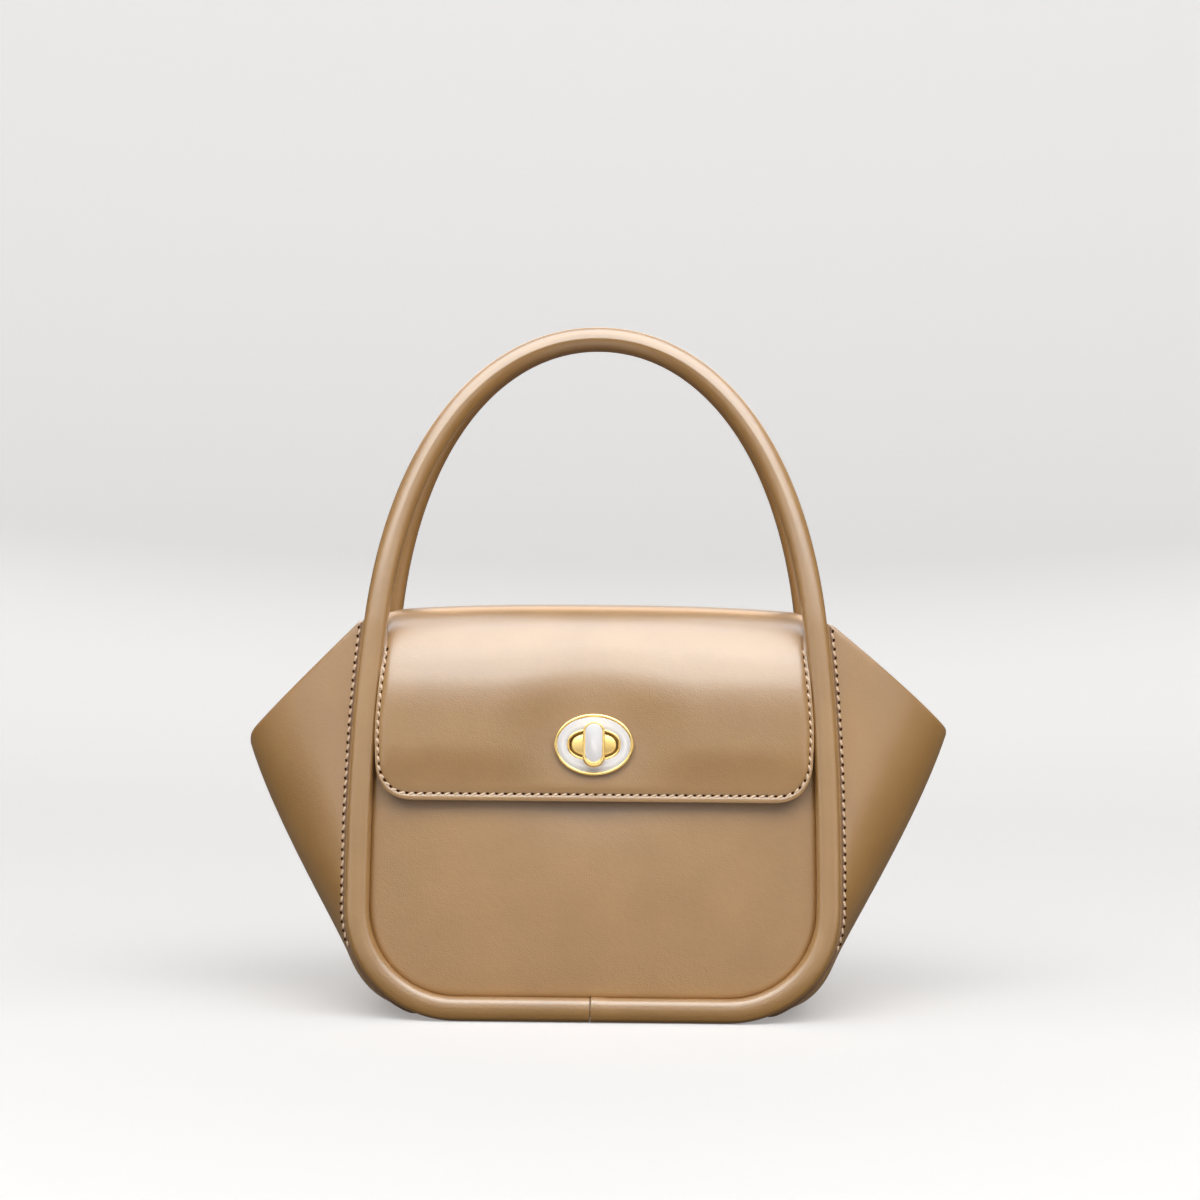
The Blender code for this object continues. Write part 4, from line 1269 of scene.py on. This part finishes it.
def roundEdges(piece, width, segments=3):
    shapeWith(piece, "BEVEL", width=width * mm, segments=segments, limit_method="ANGLE",
              angle_limit=math.radians(35))


# A ring between two ovals, made by insetting both caps to the inner oval and bridging the hole
def ovalRing(name, outer, inner, low, high):
    piece = flatCylinder(name, outer, low, high)
    makeActive(piece)
    pickFaces(piece, lambda face: len(face.vertices) > 4)
    bpy.ops.mesh.inset(thickness=0.3 * mm)
    for vertex in bmesh.from_edit_mesh(piece.data).verts:
        if vertex.select:
            turn = math.atan2(vertex.co.y / outer[1], vertex.co.x / outer[0])
            vertex.co.x, vertex.co.y = inner[0] * mm * math.cos(turn), inner[1] * mm * math.sin(turn)
    bpy.ops.mesh.bridge_edge_loops()
    bpy.ops.object.mode_set(mode="OBJECT")
    return piece


# The window and the boss are fuller than plain ovals towards their ends
def fuller(piece, half):
    power = lock["fullness"]
    for vertex in piece.data.vertices:
        x, y = vertex.co.x / (half[0] * mm), vertex.co.y / (half[1] * mm)
        reach = math.hypot(x, y)
        if 0.01 < reach < 1.03:
            swell = ((abs(x) / reach) ** power + (abs(y) / reach) ** power) ** (-1 / power)
            vertex.co.x *= swell
            vertex.co.y *= swell
    return piece


def makePlate():
    high = lock["plateHigh"]
    bed = high - lock["bedDrop"]
    rimLow = bed - lock["rimBite"]
    rings = [ovalRing("plateBase", lock["plateHalf"], lock["plateInner"], lock["plateLow"], bed),
             ovalRing("plateRim", lock["plateHalf"], lock["enamelOuter"], rimLow, high),
             ovalRing("plateInnerRim", lock["enamelInner"], lock["plateInner"], rimLow, high - lock["innerDrop"])]
    for ring, width in zip(rings, lock["plateBevels"]):
        roundEdges(fuller(ring, lock["enamelInner"]), width)
    plate = placeOnLock(joinPieces("lockPlate", rings))
    dress(plate, polishedGold)
    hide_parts("lock_plate")
    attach(plate, "flap")
    fillOuter = tuple(size + lock["enamelSpread"] for size in lock["enamelOuter"])
    fillInner = tuple(size - lock["enamelSpread"] for size in lock["enamelInner"])
    enamel = ovalRing("plateEnamel", fillOuter, fillInner, bed - lock["enamelBite"], high - lock["enamelDrop"])
    roundEdges(fuller(enamel, lock["enamelInner"]), 0.2)
    dress(placeOnLock(enamel), pearlFill)
    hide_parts("plate_enamel")
    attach(enamel, "flap")


def makeBacking():
    ring = ovalRing("plateBacking", lock["backingHalf"], lock["backingHole"],
                    lock["backingLow"], lock["backingHigh"])
    roundEdges(ring, 0.2)
    dress(placeOnLock(ring), polishedGold)
    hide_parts("plate_backing")
    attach(ring, "flap")


def makeBoss():
    boss = flatCylinder("bossDome", lock["bossHalf"], lock["bossLow"], lock["bossSide"])
    makeActive(boss)
    pickFaces(boss, capTest(1, 90))
    angles = evenly(0, lock["domeTurn"], lock["domeSteps"])
    for low, high in zip(angles, angles[1:]):
        lift = lock["bossDome"] * (math.sin(high) - math.sin(low))
        shrink = math.cos(high) / math.cos(low)
        bpy.ops.mesh.extrude_region_move(TRANSFORM_OT_translate={"value": (0, 0, lift * mm)})
        bpy.ops.transform.resize(value=(shrink, shrink, 1), center_override=(0, 0, 0))
    bpy.ops.object.mode_set(mode="OBJECT")
    fuller(boss, lock["bossHalf"])
    foot = flatCylinder("bossFoot", lock["footHalf"], lock["bossLow"], lock["footHigh"])
    roundEdges(foot, lock["footBevel"])
    heads = []
    low, high = (lock["footHigh"] + rise for rise in lock["rivetHigh"])
    for rise in (lock["rivetRise"], -lock["rivetRise"]):
        head = flatCylinder("rivetHead", lock["rivetHalf"], low, high, 24)
        head.data.transform(Matrix.Translation((0, rise * mm, 0)))
        roundEdges(head, lock["rivetBevel"])
        heads.append(head)
    boss = placeOnLock(joinPieces("lockBoss", [boss, foot] + heads))
    dress(boss, satinGold)
    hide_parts("lock_base")
    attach(boss, "bag_body")


# A round slab whose halves are drawn apart to a stadium
def stadium(name, radius, straight, low, high):
    piece = flatCylinder(name, (radius, radius), low, high, lock["knobSides"])
    piece.data.transform(Matrix.Rotation(math.pi / lock["knobSides"], 4, "Z"))
    for vertex in piece.data.vertices:
        vertex.co.y += straight * mm if vertex.co.y > 0 else -straight * mm
    return piece


def makeKnob():
    radius, reach = lock["knobHalf"]
    knob = stadium("knobBody", radius, reach - radius, lock["knobLow"], lock["knobHigh"])
    makeActive(knob)
    pickFaces(knob, capTest(1, 60))
    bpy.ops.mesh.inset(thickness=lock["knobRim"] * mm, use_even_offset=True)
    makeShorter = (reach - lock["knobRim"] - lock["inlayShort"]) / (reach - lock["knobRim"])
    bpy.ops.transform.resize(value=(1, makeShorter, 1), center_override=(0, 0, 0))
    bpy.ops.transform.translate(value=(0, lock["inlayLift"] * mm, 0))
    bpy.ops.mesh.extrude_region_move(TRANSFORM_OT_translate={"value": (0, 0, -lock["inlayBed"] * mm)})
    bpy.ops.object.mode_set(mode="OBJECT")
    roundEdges(knob, lock["knobBevel"], 4)
    stem = flatCylinder("knobStem", (lock["stem"], lock["stem"]), lock["stemEnd"], lock["knobLow"] + 0.5, 32)
    knob = placeOnLock(joinPieces("twistKnob", [knob, stem]))
    dress(knob, polishedGold)
    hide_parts("turn_knob")
    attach(knob, "twist_knob")
    inlay = stadium("knobInlay", radius - lock["knobRim"] + 0.05, reach - radius - lock["inlayShort"],
                    lock["knobHigh"] - 0.55, lock["knobHigh"] + lock["inlayProud"])
    inlay.data.transform(Matrix.Translation((0, lock["inlayLift"] * mm, 0)))
    roundEdges(inlay, lock["inlayBevel"])
    dress(placeOnLock(inlay), pearlFill)
    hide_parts("knob_enamel")
    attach(inlay, "twist_knob")


makePlate()
makeBacking()
makeBoss()
makeKnob()
print("lock made")


# Pieces of the frame that keep their shape and only get their finish
kept = {
    "base_board": bagBoard,
    "front_board": bagBoard,
    "rear_board": bagBoard,
    "front_foam": foamSheet,
    "flap_padding": foamSheet,
    "front_trim_core": cottonCord,
    "rear_trim_core": cottonCord,
    "front_handle_core": cottonCord,
    "rear_handle_core": cottonCord,
    "plate_screw_left": plainSteel,
    "plate_screw_right": plainSteel,
    "lock_backplate": plainSteel,
    "click_spring": plainSteel,
    "lock_rivet_upper": plainSteel,
    "lock_rivet_lower": plainSteel,
    "knob_retainer": plainSteel,
}
for node, material in kept.items():
    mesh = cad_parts[node].data
    mesh.materials.clear()
    mesh.materials.append(material)
print("kept nodes finished:", len(kept))


# Studio: a pale round bowl that glows by itself, and soft boxes. Most boxes only light or only
# mirror, so that the leather's shading and its highlights are set apart.
studio = {
    "camera": (0.0196, -1.25, 0.196),
    "lens": 90.4,
    "target": (0.0020, -0.05, 0.1687),
    "roll": 0.47,
    "bowlFlat": 0.9,
    "bowlRadius": 3.2,
    "bowlHeight": 3.0,
    "bowlTurns": 64,
    "air": 0.12,
}


def bowlPaper(name):
    settings = {"Roughness": 0.9, "Specular IOR Level": 0.1,
                "Base Color": linear("#DADADA"), "Emission Strength": 1.0}
    material, tree, shader, place = newMaterial(name, settings)
    reach = addNode(tree, "ShaderNodeVectorMath", {"operation": "DISTANCE"}, {0: place})
    reach.inputs[1].default_value = (0, -0.35, 0)
    share = addNode(tree, "ShaderNodeMapRange", {"From Min": 0.0, "From Max": 3.7},
                    {"Value": reach.outputs["Value"]})
    glow = colourMix(tree, share.outputs["Result"], "#808080", "#D3D3D3")
    tree.links.new(glow.outputs["Color"], shader.inputs["Emission Color"])
    return material


def makeBowl():
    flat, radius, height = studio["bowlFlat"], studio["bowlRadius"], studio["bowlHeight"]
    bend = [Vector((flat, 0)), Vector((radius, 0)), Vector((radius, radius - flat))]
    line = [Vector((0, 0)), Vector((flat / 2, 0))] + curve(bend, 24) + [Vector((radius, height))]
    turns = studio["bowlTurns"]

    def place(i, j):
        angle = 2 * math.pi * (j % turns) / turns
        return Vector((line[i].x * math.cos(angle), line[i].x * math.sin(angle), line[i].y))

    piece = shapedGrid("bowl", len(line), turns + 1, place)
    closeSeam(piece, 0.0001, inside=True)
    bpy.ops.object.shade_smooth()
    piece.data.materials.append(bowlPaper("bowlPaper"))
    piece.visible_glossy = False       # like black flags: the leather's edges stay crisp
    piece.visible_diffuse = False


def softBox(name, place, target, size, glow, kinds="diffuse and glossy", tint="#FFFFFF"):
    clearSelection()
    bpy.ops.object.light_add(type="AREA", location=place)
    light = bpy.context.active_object
    light.name = name
    light.data.shape = "RECTANGLE"
    light.data.size, light.data.size_y = size
    light.data.energy = glow * math.pi * size[0] * size[1]
    light.data.color = linear(tint)[:3]
    light.rotation_euler = (Vector(target) - Vector(place)).to_track_quat("-Z", "Y").to_euler()
    light.visible_camera = False
    light.visible_diffuse = "diffuse" in kinds
    light.visible_glossy = "glossy" in kinds


# Place, target, size, glow, what the box does, and its tint
bag, cool, warm = (0, 0, 0.12), "#E2F1FF", "#FFCE9C"
softBoxes = {
    "keySoft": ((0.08, -1.04, 1.27), bag, (2.6, 0.95), 3.5, "diffuse"),
    "keyGloss": ((0.08, -0.98, 1.29), bag, (2.6, 0.8), 4.5, "glossy", cool),
    "topSoft": ((0, 0, 1.7), bag, (2.4, 1.6), 0.15, "diffuse"),
    "topGloss": ((0, -0.15, 1.55), bag, (2.6, 1.3), 6.5, "glossy", cool),
    "rollGloss": ((0, -1.33, 0.93), bag, (2.4, 0.5), 4.6, "glossy", cool),
    "slopeGloss": ((0, -1.52, 0.56), bag, (2.4, 0.4), 1.1, "glossy", cool),
    "frontSoft": ((0, -3.0, 1.0), bag, (3.6, 1.6), 0.25, "diffuse"),
    "frontGloss": ((0, -1.7, 0.24), bag, (0.34, 0.26), 2.0, "glossy"),
    "leftGloss": ((-1.25, -1.15, 0.22), bag, (0.7, 0.6), 2.4, "glossy"),
    "rightGloss": ((1.25, -1.15, 0.22), bag, (0.7, 0.6), 2.4, "glossy"),
    "floorGloss": ((0, -0.21, 0.012), (0, -0.21, 1), (0.4, 0.2), 1.2, "glossy"),
    "floorSoft": ((0, -0.13, 0.001), (0, -0.13, 1), (0.9, 0.1), 0.25, "diffuse"),
    "leftSoft": ((-1.9, -0.35, 0.30), (0, 0, 0.08), (0.8, 0.9), 6.2, "diffuse"),
    "rightSoft": ((1.9, -0.35, 0.30), (0, 0, 0.08), (0.8, 0.9), 7.0, "diffuse"),
    "rearBox": ((0, 1.6, 0.9), bag, (2.4, 0.9), 0.9),
    "rearGloss": ((0, 1.5, 1.15), (0, 0, 0.16), (2.4, 0.6), 2.3, "glossy", warm),
}
makeBowl()
for name, box in softBoxes.items():
    softBox(name, *box)

world = bpy.data.worlds.new("studioAir")
world.use_nodes = True
world.node_tree.nodes["Background"].inputs["Color"].default_value = linear("#FFF1E4")
world.node_tree.nodes["Background"].inputs["Strength"].default_value = studio["air"]
bpy.context.scene.world = world
bpy.context.scene.view_settings.view_transform = "Standard"

clearSelection()
bpy.ops.object.camera_add(location=studio["camera"])
camera = bpy.context.active_object
camera.data.sensor_width = 36.0
camera.data.lens = studio["lens"]
aim = (Vector(studio["target"]) - Vector(studio["camera"])).to_track_quat("-Z", "Y")
camera.rotation_euler = (aim.to_matrix() @ Matrix.Rotation(math.radians(studio["roll"]), 3, "Z")).to_euler()
bpy.context.scene.camera = camera
print("studio ready")
